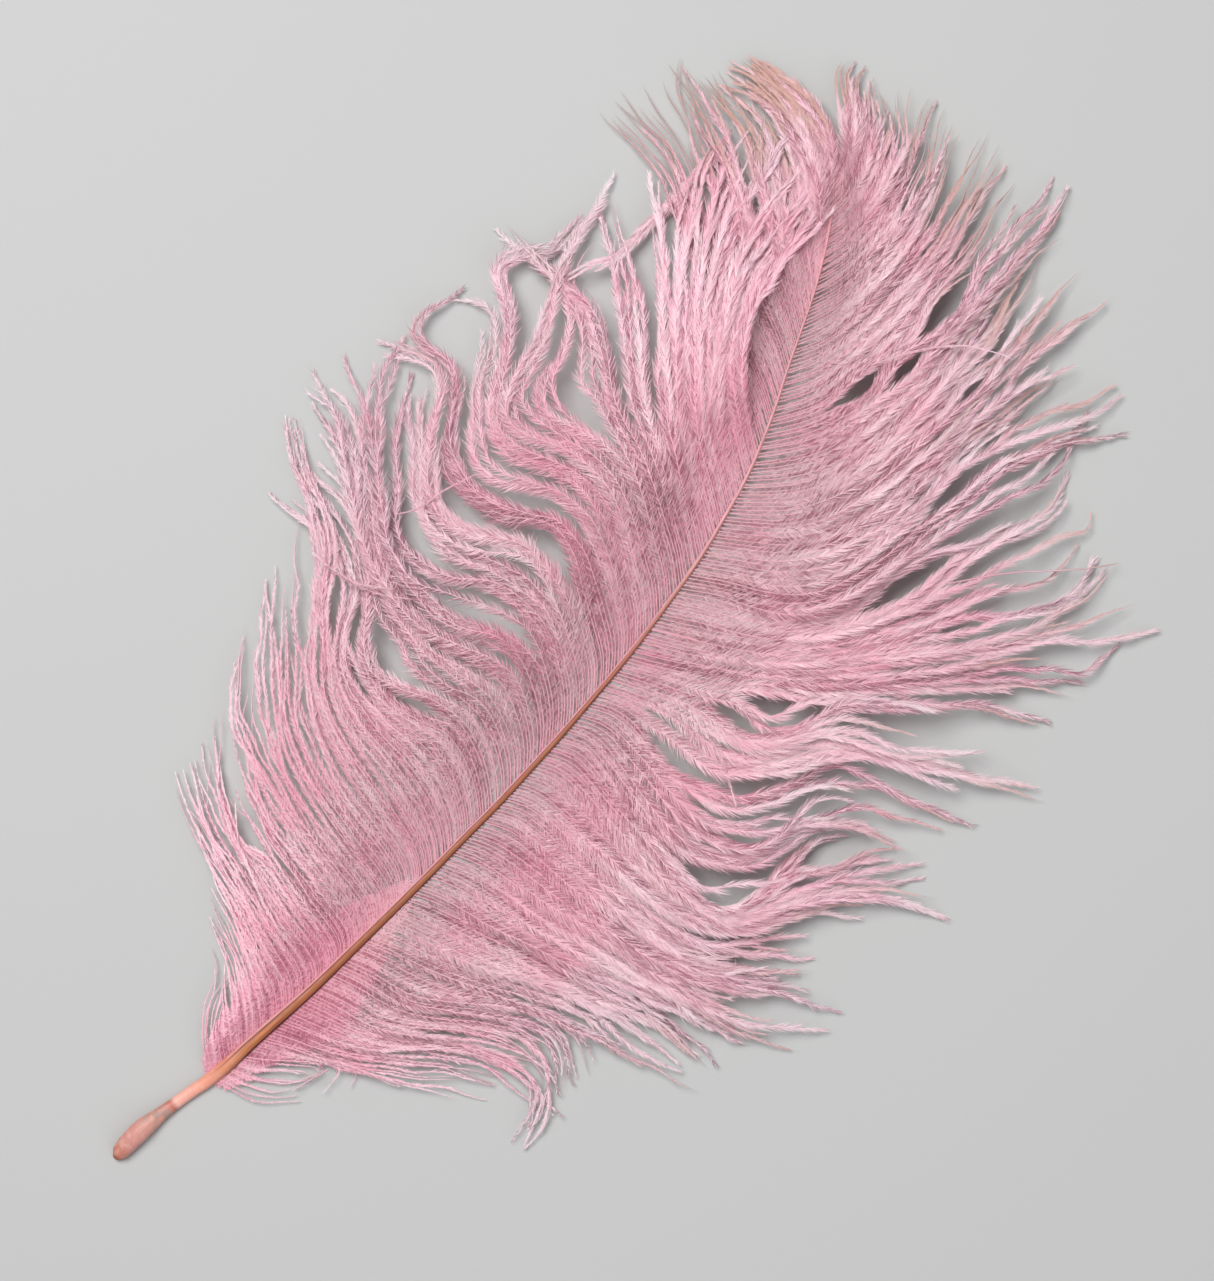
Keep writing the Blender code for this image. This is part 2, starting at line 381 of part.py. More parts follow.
def plane_underside(obj, collection):
    """Planes the feather off level with the surface it lies on, which leaves it a narrow flat to rest on."""
    bpy.ops.mesh.primitive_cube_add(size=1.0, location=(0.01, 0.085, -0.005))
    block = bpy.context.object
    block.name = "surface"
    block.scale = (0.3, 0.4, 0.01)
    for owner in list(block.users_collection):
        owner.objects.unlink(block)
    collection.objects.link(block)
    hide_cutter(block)
    cut = obj.modifiers.new("flat_underside", "BOOLEAN")
    cut.operation = "DIFFERENCE"
    cut.solver = "EXACT"
    cut.object = block


def hide_cutter(obj):
    """Marks an object as one that only shapes another."""
    obj.hide_render = True
    obj.display_type = "WIRE"


def main():
    clear_scene()
    scene = bpy.context.scene
    feather = bpy.data.collections.new("ostrich_feather")
    cutters = bpy.data.collections.new("cutters")
    locks = bpy.data.collections.new("locks")
    for collection in (feather, cutters, locks):
        scene.collection.children.link(collection)

    barbs = material("barbs", PINK, 0.75)
    shaft_skin = material("shaft", BROWN, 0.4)
    round_section = profile("round_section", 8, SHAFT_FLATNESS)
    lock_section = profile("lock_section", 4, LOCK_THICKNESS)

    shaft = grow_shaft(round_section, shaft_skin, feather)
    grow_locks(lock_section, barbs, locks)
    for section in (round_section, lock_section):
        bpy.data.objects.remove(section, do_unlink=True)
    for obj in locks.objects:
        hide_cutter(obj)
    shaft.data.materials.append(barbs)

    join = shaft.modifiers.new("locks", "BOOLEAN")
    join.operation = "UNION"
    join.solver = "EXACT"
    join.operand_type = "COLLECTION"
    join.collection = locks
    join.material_mode = "TRANSFER"
    plane_underside(shaft, cutters)


main()
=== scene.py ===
# %% [markdown]
# # A dyed ostrich plume
# An ostrich feather has no hooks between its barbs, so each barb hangs free with a fringe of soft side
# hairs, the barbules. That is why a plume looks like fur combed outward from a thin shaft. This lesson
# dresses a plain solid feather, which already has the right size and place, with that shaft, about six
# hundred barbs and their fringe.

# %% Load the frame
import math

import bmesh
import bpy
import numpy as np
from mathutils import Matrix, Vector


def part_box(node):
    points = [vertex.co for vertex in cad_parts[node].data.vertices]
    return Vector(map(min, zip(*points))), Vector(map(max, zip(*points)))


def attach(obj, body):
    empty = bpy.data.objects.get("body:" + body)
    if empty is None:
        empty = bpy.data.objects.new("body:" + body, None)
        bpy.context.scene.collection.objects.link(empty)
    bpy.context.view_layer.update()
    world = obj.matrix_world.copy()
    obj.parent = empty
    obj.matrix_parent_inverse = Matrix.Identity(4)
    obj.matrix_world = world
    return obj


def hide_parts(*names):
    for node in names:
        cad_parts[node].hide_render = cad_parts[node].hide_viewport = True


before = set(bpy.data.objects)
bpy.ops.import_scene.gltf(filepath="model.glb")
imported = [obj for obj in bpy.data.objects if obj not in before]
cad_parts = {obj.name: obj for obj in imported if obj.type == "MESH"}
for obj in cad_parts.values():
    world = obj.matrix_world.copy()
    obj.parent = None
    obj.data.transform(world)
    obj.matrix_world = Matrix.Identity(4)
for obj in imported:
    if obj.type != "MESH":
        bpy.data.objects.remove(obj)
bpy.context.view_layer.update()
solid_low, solid_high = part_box("feather")
sides = [round(1000 * (high - low), 1) for low, high in zip(solid_low, solid_high)]
print(len(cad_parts), "solid, the feather:", sides, "mm")

# %% [markdown]
# ## Measures
# The tables below are in millimetres, because that is how a feather is measured with a ruler, and
# everything is turned into metres at the last moment. The origin is under the shaft where the barbs
# start, and +Y runs to the tip. One generator with a fixed seed makes every random choice, so the plume
# is the same each time.

# %% Measures
MM = 0.001
STEPS = 60              # even steps along a route
WAY = np.linspace(0, 1, STEPS + 1)  # the share of the way at each step
BARB_PITCH = 0.8        # between two barbs along the shaft, mm
BARBULE_PITCH = 0.3     # between two barbules along a barb, mm
BARBULE_LENGTH = 2.0    # mm
BARBULE_WIDTH = 0.1     # where it leaves the barb, mm
BARB_RADIUS = 0.15      # of the barb's own thin rod where it leaves the shaft, mm
LOWEST_BARB = 0.35      # no middle of a barb comes nearer to the surface than this, mm
LOWEST_BARBULE = 0.05   # and no barbule nearer than this, mm
FULL_FRINGE = 6.0       # how far from the shaft a barb's fringe reaches its full length, mm
dice = np.random.default_rng(7)
print("a barb every", BARB_PITCH, "mm and a barbule every", BARBULE_PITCH, "mm")

# %% [markdown]
# ## The shaft's line
# The shaft is a long bow: it leaves the quill leaning right, stands straight at two thirds of the way and
# then bends over to the left. Each row below is a station with its x, its y and half of the shaft's
# width.

# %% The shaft's line
SHAFT = [
    (-5.7, -22.2, 0.65), (-5.7, -21.7, 1.08), (-5.65, -20.6, 1.42), (-5.35, -18.2, 1.6),
    (-4.85, -15.6, 1.62), (-3.97, -12.6, 1.2), (-3.13, -10, 1.02), (-1.95, -6.6, 0.98), (-1, -4.2, 1.02),
    (0.3, 0, 1.1), (1.5, 5.7, 1.02), (2.9, 11.6, 0.95), (4.45, 18.3, 0.87), (6, 26.5, 0.79),
    (7.7, 35.8, 0.73), (9.25, 44.8, 0.68), (10.6, 53.3, 0.64), (11.75, 60.1, 0.61), (13.35, 72.5, 0.55),
    (14.3, 81.7, 0.5), (15.05, 90.7, 0.45), (15.4, 99, 0.38), (15.5, 110.4, 0.33), (14.85, 119.7, 0.29),
    (13.8, 127.9, 0.26), (11.6, 137.1, 0.23), (9.6, 143.5, 0.21), (7.4, 151.3, 0.18), (5.2, 158.4, 0.16),
    (1.8, 166.5, 0.13), (-2.2, 173.5, 0.1),
]
SHAFT_FLATNESS = 0.8    # height of the shaft as a share of its width
SHAFT_SUNK = 0.2        # how much of its round underside is planed off flat, mm
SHAFT_RISE = 4.0        # how high the springy tip stands off the surface, mm
SHAFT_RISE_FROM = 60.0  # where along Y it starts to rise, mm

shaft_rows = np.array(SHAFT)
shaft_foot, shaft_tip = float(shaft_rows[0, 1]), float(shaft_rows[-1, 1])


def shaft_x(y):
    """Where the middle of the shaft is along X, mm."""
    return np.interp(y, shaft_rows[:, 1], shaft_rows[:, 0])


def shaft_half(y):
    """Half of the shaft's width, mm."""
    return np.interp(y, shaft_rows[:, 1], shaft_rows[:, 2])


def shaft_height(y):
    """Height of the middle of the shaft above the surface, mm."""
    along = np.clip((y - SHAFT_RISE_FROM) / (shaft_tip - SHAFT_RISE_FROM), 0, 1)
    return shaft_half(y) * SHAFT_FLATNESS - SHAFT_SUNK + SHAFT_RISE * along**2


print("shaft:", len(SHAFT), "stations,", round(shaft_tip - shaft_foot, 1), "mm long")

# %% [markdown]
# ## Where the barbs flow
# Combing six hundred barbs one by one is slow, so a few routes are drawn and the barbs follow the nearest
# ones, as hair follows guide hairs. A route is the place along Y where it leaves the shaft and the points
# that it passes. The left side lies in two layers near the tip, because its middle folds over what lies
# further up. The upper table starts with the last two routes of the lower one, so that a barb where the
# two meet still has a route on each side.

# %% Routes of the left vane
LEFT_LOWER = [
    (-3.5, [(-3, -1), (-6.2, 2.4), (-8.4, 6), (-9.3, 10), (-10.4, 12.2), (-13.2, 14.5)]),
    (-0.5, [(-2.6, 2.2), (-5, 6), (-6.6, 9.5), (-7.2, 12.8)]),
    (2.3, [(-1.8, 5.5), (-5.2, 9.8), (-9.5, 13.8), (-15.8, 18.2)]),
    (5, [(-1.5, 9), (-6, 13.4), (-11.5, 17.2), (-18.2, 20.8)]),
    (8, [(-0.8, 12.2), (-6, 16.4), (-12.5, 20.6), (-19, 23.6)]),
    (11.5, [(0, 15.4), (-6, 18.8), (-13.5, 22.8), (-21, 26.4), (-28, 30.4), (-33.7, 34.7)]),
    (15, [(1, 18.5), (-5, 21.6), (-13, 25.4), (-21, 28.8), (-27.5, 32.2), (-32.9, 36.7)]),
    (18.5, [(2, 21.8), (-5, 24.8), (-13, 28), (-20, 31.2), (-26, 35), (-32.8, 41.2)]),
    (22, [(2.5, 25), (-5, 28), (-13, 31), (-19.5, 32.5), (-25, 35.5), (-29, 40), (-33.6, 47.2)]),
    (25.5, [(3, 28.6), (-4, 31.4), (-11, 33.8), (-16, 35.8), (-21, 39.4), (-25, 43.2), (-28.8, 46.4)]),
    (29, [(3.5, 32.3), (-4, 35.2), (-12, 38), (-19, 41), (-25, 43.5), (-31, 46.8), (-34.5, 52),
         (-38.3, 60)]),
    (32.5, [(4, 36), (-4, 38.8), (-12, 41.8), (-19, 45), (-24, 49), (-28.5, 54), (-33.5, 60.5),
         (-36.5, 65.5), (-40.2, 70.6)]),
    (36.5, [(4.5, 40), (-3, 43), (-11, 46), (-18, 49.3), (-23.5, 53.5), (-28, 59), (-32, 65), (-34.6, 69),
         (-36.4, 72.3)]),
    (40.5, [(5, 44.2), (-2, 47.2), (-10, 50.3), (-17, 53.7), (-22.5, 58), (-27, 64), (-30.5, 70),
         (-34.5, 76), (-40.5, 81.5), (-46.5, 85), (-52.9, 91)]),
    (45, [(6, 48.5), (0, 52), (-7, 54.7), (-14, 57), (-20, 60.5), (-24.5, 65.5), (-28, 71.5), (-32, 77.5),
         (-38, 82.5), (-44, 85.5), (-51.4, 92)]),
    (49.5, [(7, 53), (2, 56.5), (-4, 58.8), (-11, 59.8), (-17, 62), (-22, 66.5), (-26, 73), (-31, 78),
         (-37, 79.3), (-42, 79.2), (-47.6, 79.4)]),
    (54, [(7.5, 57.7), (3, 61), (-2, 63), (-8, 63.3), (-14, 63.7), (-18.5, 66), (-22, 71), (-26, 77),
         (-31, 82), (-36.5, 85.2), (-41, 85.7), (-46, 86.5)]),
    (58.5, [(8.5, 62), (4, 65.6), (-1, 67.8), (-7, 67.2), (-13, 66.3), (-18, 67.8), (-22, 72.5),
         (-25.5, 77), (-30, 82), (-34.5, 85.5), (-38, 89), (-43, 92), (-49.7, 95)]),
    (63, [(9.3, 67), (5, 70.5), (0, 72.6), (-6, 72), (-12, 71.6), (-17, 74), (-22.5, 77.2), (-28, 80.8),
         (-33, 85.5), (-37, 90), (-41, 93.8), (-46, 96.2), (-51.7, 95.8)]),
    (67.3, [(10, 71.5), (5.5, 75.5), (0.5, 78), (-5.5, 77.8), (-12, 76.3), (-18, 77), (-24, 79.5),
         (-29.5, 84), (-34.5, 90), (-39, 95.5), (-43.5, 100.5), (-50.1, 104.8)]),
    (71, [(10, 76), (6, 80), (1.5, 82.8), (-4, 82.8), (-10, 80.8), (-16, 80.3), (-22, 81.5), (-28, 85.5),
         (-33, 91), (-37, 96), (-40.5, 101), (-42.5, 106), (-44, 113)]),
    (74.3, [(10.5, 79.2), (6.5, 83.2), (2, 86.6), (-3, 88), (-8, 87.4), (-13, 85.4), (-18, 84.3),
         (-23, 85), (-28, 88), (-32, 93), (-35.5, 98), (-37.6, 103), (-39.8, 108.8)]),
    (77.5, [(11, 82), (7, 85.7), (3, 89), (-2, 91.4), (-7, 91.8), (-12, 90.6), (-17, 89.3), (-22, 89.3),
         (-26, 92), (-29.5, 96.5), (-33, 101), (-35.5, 105), (-37, 109.3)]),
    (81, [(11.3, 85.5), (7.3, 89), (3, 92.2), (-2, 94.9), (-8, 96), (-13, 94.4), (-18, 92.9), (-23, 92.8),
         (-27, 96), (-30, 100), (-32.5, 105), (-34, 109), (-37, 111.6), (-41.5, 111.2), (-47.3, 109.6)]),
]
LEFT_UPPER = LEFT_LOWER[-2:] + [
    (85, [(11.8, 89.3), (7.5, 93), (3.3, 96.4), (-1.5, 99.4), (-7, 100.5), (-12, 99), (-17, 97.8),
         (-22, 97.7), (-26.5, 100.5), (-29.5, 105), (-31.5, 110), (-35, 113.4), (-39.5, 113.2),
         (-43, 114), (-43.4, 117.5), (-41.5, 121), (-39.8, 125.9)]),
    (89.5, [(12, 94), (7.5, 98), (3, 101.5), (-2, 104.3), (-7, 105), (-12, 103.8), (-16, 102.4),
         (-21, 102.2), (-25, 104.5), (-28, 109), (-30, 114), (-31.5, 119.5), (-34, 123), (-38, 123.4),
         (-41, 121.5)]),
    (93.5, [(12, 98), (7.5, 101.8), (3, 105.4), (-2, 108.7), (-7, 110), (-12, 109.4), (-18, 107.8),
         (-23, 108.6), (-26.5, 113), (-28.5, 118.5), (-31, 124), (-34.5, 127.5), (-37.3, 130),
         (-35.8, 133.7), (-32.8, 136.5), (-31.7, 141), (-31.6, 145.7)]),
    (97, [(12, 101.3), (7.5, 105), (2.5, 109), (-2.5, 112), (-8, 113), (-14, 112.3), (-19, 111),
         (-22.8, 112), (-24.7, 116.5), (-25.3, 123), (-27, 129), (-29.3, 135), (-30.2, 141), (-30.4, 147),
         (-31, 153.7)]),
    (100.5, [(12, 104.6), (7.5, 108.2), (2.5, 112.3), (-3, 115.8), (-9, 116.6), (-14, 115.7),
         (-18.5, 115.4), (-20.8, 118.5), (-21, 124), (-22.5, 129), (-26, 132.7), (-28.6, 137),
         (-29.3, 142), (-29.3, 147.5)]),
    (104, [(12, 107.8), (7.5, 111.3), (3, 114.8), (-2, 118), (-7, 120.3), (-12, 123.8), (-16.5, 128),
         (-21.5, 131.8), (-28, 133.5), (-35, 134.5), (-42.3, 135.8)]),
    (108, [(11.5, 111.7), (7, 115.2), (2, 119), (-4, 123), (-9, 127.3), (-14, 133), (-18.5, 138.5),
         (-23, 143.2), (-27, 147), (-30, 149.7)]),
    (112, [(11, 116), (5, 120.5), (-1, 126), (-6, 132), (-11, 139), (-16, 146), (-20.5, 151),
         (-23.5, 154), (-26.8, 157.3)]),
    (114.5, [(11, 118), (5, 122.5), (-0.8, 128), (-5.7, 134.5), (-10.5, 141.5), (-15, 149), (-18.5, 156),
         (-20.3, 162.5), (-20.9, 169)]),
    (117, [(10.8, 120.6), (5, 125), (0, 130.5), (-4.8, 137), (-9.3, 144), (-13.3, 151.5), (-16, 159),
         (-17, 166), (-17.2, 174.5)]),
    (119.5, [(10.3, 123.5), (4.8, 128), (0.2, 133.5), (-3.8, 140), (-7.8, 147.5), (-10.8, 155),
         (-12.2, 162), (-12.3, 169), (-12.4, 175)]),
    (122, [(10, 126), (4.8, 130.3), (0.6, 136), (-2.6, 142.5), (-5.6, 150), (-7.2, 157.5), (-7.4, 165),
         (-7.2, 171.5), (-8.5, 176.5)]),
    (125, [(9.5, 129), (4.8, 133), (1, 138.5), (-1.6, 145), (-3.4, 152), (-4, 159), (-3.9, 166),
         (-4.2, 172), (-5.5, 176)]),
    (128, [(9, 132), (5, 135.8), (1.6, 140.8), (-0.6, 146.5), (-1.5, 153), (-1.3, 159), (-0.5, 165),
         (0.3, 171.5)]),
    (129.9, [(8.8, 134), (5.2, 137.5), (2.2, 141.8), (0.3, 147), (-0.8, 152.5), (-1, 158), (-0.4, 163.5),
         (0.4, 168.5)]),
]
LEFT_UNDER = [
    (132, [(8.5, 135.5), (3, 139), (-3, 142.3), (-9, 146.5), (-14.5, 151), (-19.5, 155.5), (-24.5, 159.3),
         (-30, 160.9), (-37.3, 162.4)]),
    (136.5, [(7.5, 139.6), (2, 142.8), (-4, 146), (-10, 150.5), (-16, 155), (-22, 159.5), (-27.5, 162.5),
         (-33, 163.7), (-38.4, 165.4)]),
    (141, [(6.5, 144), (1, 147), (-5, 150.8), (-11, 155.3), (-17, 160), (-22.5, 164), (-27, 168),
         (-30.5, 171), (-33.1, 175.5)]),
    (146, [(5.2, 149), (-0.5, 152.3), (-6.5, 156.7), (-12.5, 161.5), (-18.5, 166), (-24, 169), (-29, 171),
         (-34.6, 173.3)]),
    (151, [(4, 154), (-1.5, 158), (-7.5, 163), (-13.5, 167.6), (-19, 171), (-24, 173), (-28.6, 175)]),
    (156.5, [(3, 160), (-2, 165), (-6.5, 170), (-11.5, 174), (-16.5, 176.2), (-21.5, 177.2),
         (-26, 177.5)]),
    (161.5, [(1, 165.5), (-3, 170), (-8, 174.5), (-13, 177.2), (-18, 178.6), (-22.5, 179.2),
         (-26.3, 178.7)]),
    (166.5, [(-1.3, 170.8), (-5, 174.8), (-9.5, 178), (-14.5, 179.6), (-20, 180), (-25.7, 180.5)]),
    (171, [(-3, 175), (-6.5, 178), (-10.5, 180.2), (-15, 181.2), (-19.5, 181.4), (-22.9, 180.9)]),
    (173.5, [(-4.4, 176.4), (-7.5, 178.8), (-11.3, 180.7), (-15.6, 181.6), (-19.8, 181.6),
         (-22.3, 181.2)]),
]
print(len(LEFT_LOWER), len(LEFT_UPPER), len(LEFT_UNDER), "routes on the left")

# %% [markdown]
# ## The other side
# The right side lies in one layer. Low down its ends hook back, in the middle they sweep out and up, and
# near the tip they stand almost along the shaft. Here too each table starts with the last routes of the
# one before it.

# %% Routes of the right vane
RIGHT_LOWER = [
    (-3.2, [(4, -2.5), (8, -1.5), (11, 0.5), (13.6, 2.4)]),
    (-0.5, [(4.5, 0.6), (8, 2.4), (10.8, 4.6), (12.9, 7.3)]),
    (2.5, [(5, 4.8), (9, 7.6), (12.5, 9.4), (13.6, 8), (11, 3)]),
    (5.5, [(6, 7.4), (11, 9.5), (17, 11.5), (24, 14), (30, 17.2), (37.9, 20)]),
    (9, [(7, 10.5), (12, 11.9), (18, 14.2), (24, 17.8), (30, 21), (37.7, 23.7)]),
    (12.5, [(8, 13.6), (14, 15.2), (20, 18), (26, 21.7), (32, 24.3), (39, 25.7), (49.8, 25.4)]),
    (16.5, [(9, 17.4), (15, 18.4), (21, 20.9), (27, 24.2), (33, 26.5), (39, 27), (43.3, 25.5),
         (44.2, 21.5), (44.8, 16.2)]),
    (20.5, [(10, 21.5), (16, 22.2), (22, 24.6), (28, 28.2), (34, 30.8), (39.5, 31), (43.5, 28.5),
         (46, 24.5), (46.9, 20.5), (46.7, 16.2)]),
    (23.5, [(11, 24.6), (18, 25.5), (24, 28.5), (30, 31.7), (35, 33.5), (39.5, 33.8), (43, 31.5),
         (45.3, 28), (47.4, 26.8)]),
    (26, [(11, 27.1), (18, 28.3), (25, 31), (31, 34), (37, 36.2), (42, 36), (45, 34), (47.9, 31.5)]),
    (28.5, [(11, 29.6), (18, 30.8), (24, 32.3), (30, 34.7), (37, 37), (44, 37.8), (53, 38.5), (60, 39.2),
         (67.6, 40.4)]),
    (31, [(11.5, 32.2), (18.5, 33.6), (26, 35.9), (32.5, 38), (38, 39.6), (43, 40.9), (48, 40.3),
         (55, 40), (65.6, 41.7)]),
    (33.5, [(12, 34.8), (19, 36.2), (27, 38.4), (34, 40.3), (41, 42), (48, 42.9), (54, 42.7),
         (59.8, 42.1)]),
    (36, [(12.5, 37.3), (20, 38.8), (28, 40.6), (35, 41.8), (42, 43.2), (49, 45), (55, 45.4),
         (62, 44.9)]),
    (38.5, [(13, 39.9), (21, 41.3), (29, 42.6), (36, 43.6), (43, 45), (50, 46.8), (57, 46.8),
         (65, 45.6)]),
    (42, [(13.8, 43.3), (22, 44.3), (30, 45.3), (38, 46.2), (46, 48), (53, 49.3), (60, 49.8),
         (66.4, 50.5)]),
    (46, [(14.8, 47.3), (23, 47.9), (31, 48.2), (39, 49), (47, 50.3), (54, 51.3), (61, 51.2), (67, 52.4),
         (74.4, 55.2)]),
    (50, [(15.5, 51.3), (24, 51.6), (33, 51.7), (42, 52), (51, 52.7), (59, 53), (66, 54.6), (71.5, 57.3),
         (76.2, 60.6)]),
    (53.5, [(16, 55), (25, 55.2), (34, 54.7), (43, 54.5), (51, 55), (58, 57.2), (64, 60), (69.5, 62.3),
         (76.2, 64.3)]),
    (57, [(16.5, 58.6), (26, 58.3), (35, 57.4), (43, 56.8), (50, 57), (56, 59), (61, 62), (65, 64.8),
         (68.6, 67.5)]),
    (60.3, [(16.8, 61.8), (26, 61), (35, 60), (43, 59), (50, 59.5), (56, 62.7), (61.5, 66), (67.3, 69)]),
]
RIGHT_MIDDLE = RIGHT_LOWER[-2:] + [
    (63.3, [(17, 64.5), (26, 63.8), (35, 62.9), (44, 62.4), (51, 63.8), (56.5, 67.5), (60.5, 72.5),
         (65, 77.5), (70.5, 80.9)]),
    (66, [(17.5, 67.2), (27, 65.7), (36, 64.6), (44, 64.2), (51, 65.7), (56, 69.3), (60, 74.3),
         (64.5, 79), (69.5, 82.5), (75, 84.7), (82, 86.3)]),
    (68.4, [(18, 69.6), (27, 67.8), (36, 66.3), (43.5, 65.7), (50, 67), (54.5, 70.3), (58, 74.8),
         (62, 79.7), (66.5, 83.6), (70.5, 86.3), (74.5, 89.7)]),
    (70.7, [(18.4, 71.9), (28, 69.8), (36, 67.9), (43, 66.7), (49, 67.6), (52.7, 70.5), (54.3, 75),
         (56, 80), (58.8, 84.8), (62.9, 89.1)]),
    (73, [(18.7, 74.2), (28, 71.4), (36, 69), (43, 67.4), (49.5, 68.2), (54, 72), (57, 77), (60.5, 82.5),
         (65, 87.8), (69.4, 92.3)]),
    (76, [(19, 77), (28, 74.2), (35, 72.3), (41, 71.6), (46, 73), (50, 77), (53, 82), (55.5, 87),
         (59, 90), (63.5, 91), (68.2, 92.2)]),
    (78.5, [(19.3, 79.8), (28, 78), (35, 76), (41.5, 75.5), (46.5, 77.3), (50, 81.5), (52.7, 86.5),
         (56, 90.5), (61, 93), (67, 95), (74.2, 97.4)]),
    (81.5, [(19.5, 83), (27.5, 82), (35, 81), (41, 82), (45.5, 85.7), (49, 90.3), (52.5, 94.3),
         (57.5, 97), (63.5, 98.3), (69.5, 99.5), (75.7, 100.9)]),
    (84, [(19.8, 85.5), (27.5, 86), (34, 85.7), (39.5, 87.3), (44, 91.5), (48, 96), (53, 99.7), (59, 102),
         (65, 104.4), (71, 106.7), (77.5, 109.2), (84.2, 110.9)]),
    (86, [(20, 87.6), (27.5, 89.2), (33.5, 89.8), (39, 91.5), (43, 95), (47, 99.3), (52, 101.8),
         (58, 103), (63.5, 105), (69, 109), (73.5, 113), (77.6, 117.3)]),
    (88, [(20.2, 89.8), (27.5, 91.8), (33, 93), (38, 94), (42, 97.5), (46, 102.8), (51, 107.3),
         (57, 111.5), (63, 115.5), (69, 118.3), (77, 120.9)]),
    (90, [(20.3, 92), (27.5, 94.8), (33, 97.6), (39, 101.2), (45, 105), (51, 109.8), (57, 114.9),
         (63, 119.6), (69, 123.3), (73.5, 125.4), (77.8, 126.4)]),
    (91.7, [(20.5, 93.8), (27.5, 96.8), (33.5, 99.6), (40, 103.3), (47, 108.3), (54, 114.3),
         (60.5, 120.3), (66.5, 125.7), (72, 129), (76.5, 131), (78.5, 135), (78.8, 139.7)]),
    (93.5, [(21, 95.7), (28, 98.7), (34, 101.5), (40, 105.4), (46.5, 110.5), (53, 116.5), (59, 122.3),
         (64.5, 128), (69, 133), (75, 137.8), (82.3, 144.5)]),
    (95.3, [(21, 97.5), (28, 100.4), (34, 103.3), (40, 107.5), (46, 112.8), (52, 118.8), (57.5, 124.5),
         (63, 130), (67.5, 135.5), (70.5, 141), (71.6, 149)]),
    (97, [(21.2, 99.3), (28, 102), (34, 105), (40, 109.3), (45.5, 114.8), (51, 121), (56, 127), (61, 132),
         (65, 136.5), (67, 141.5), (67.1, 147.6)]),
]
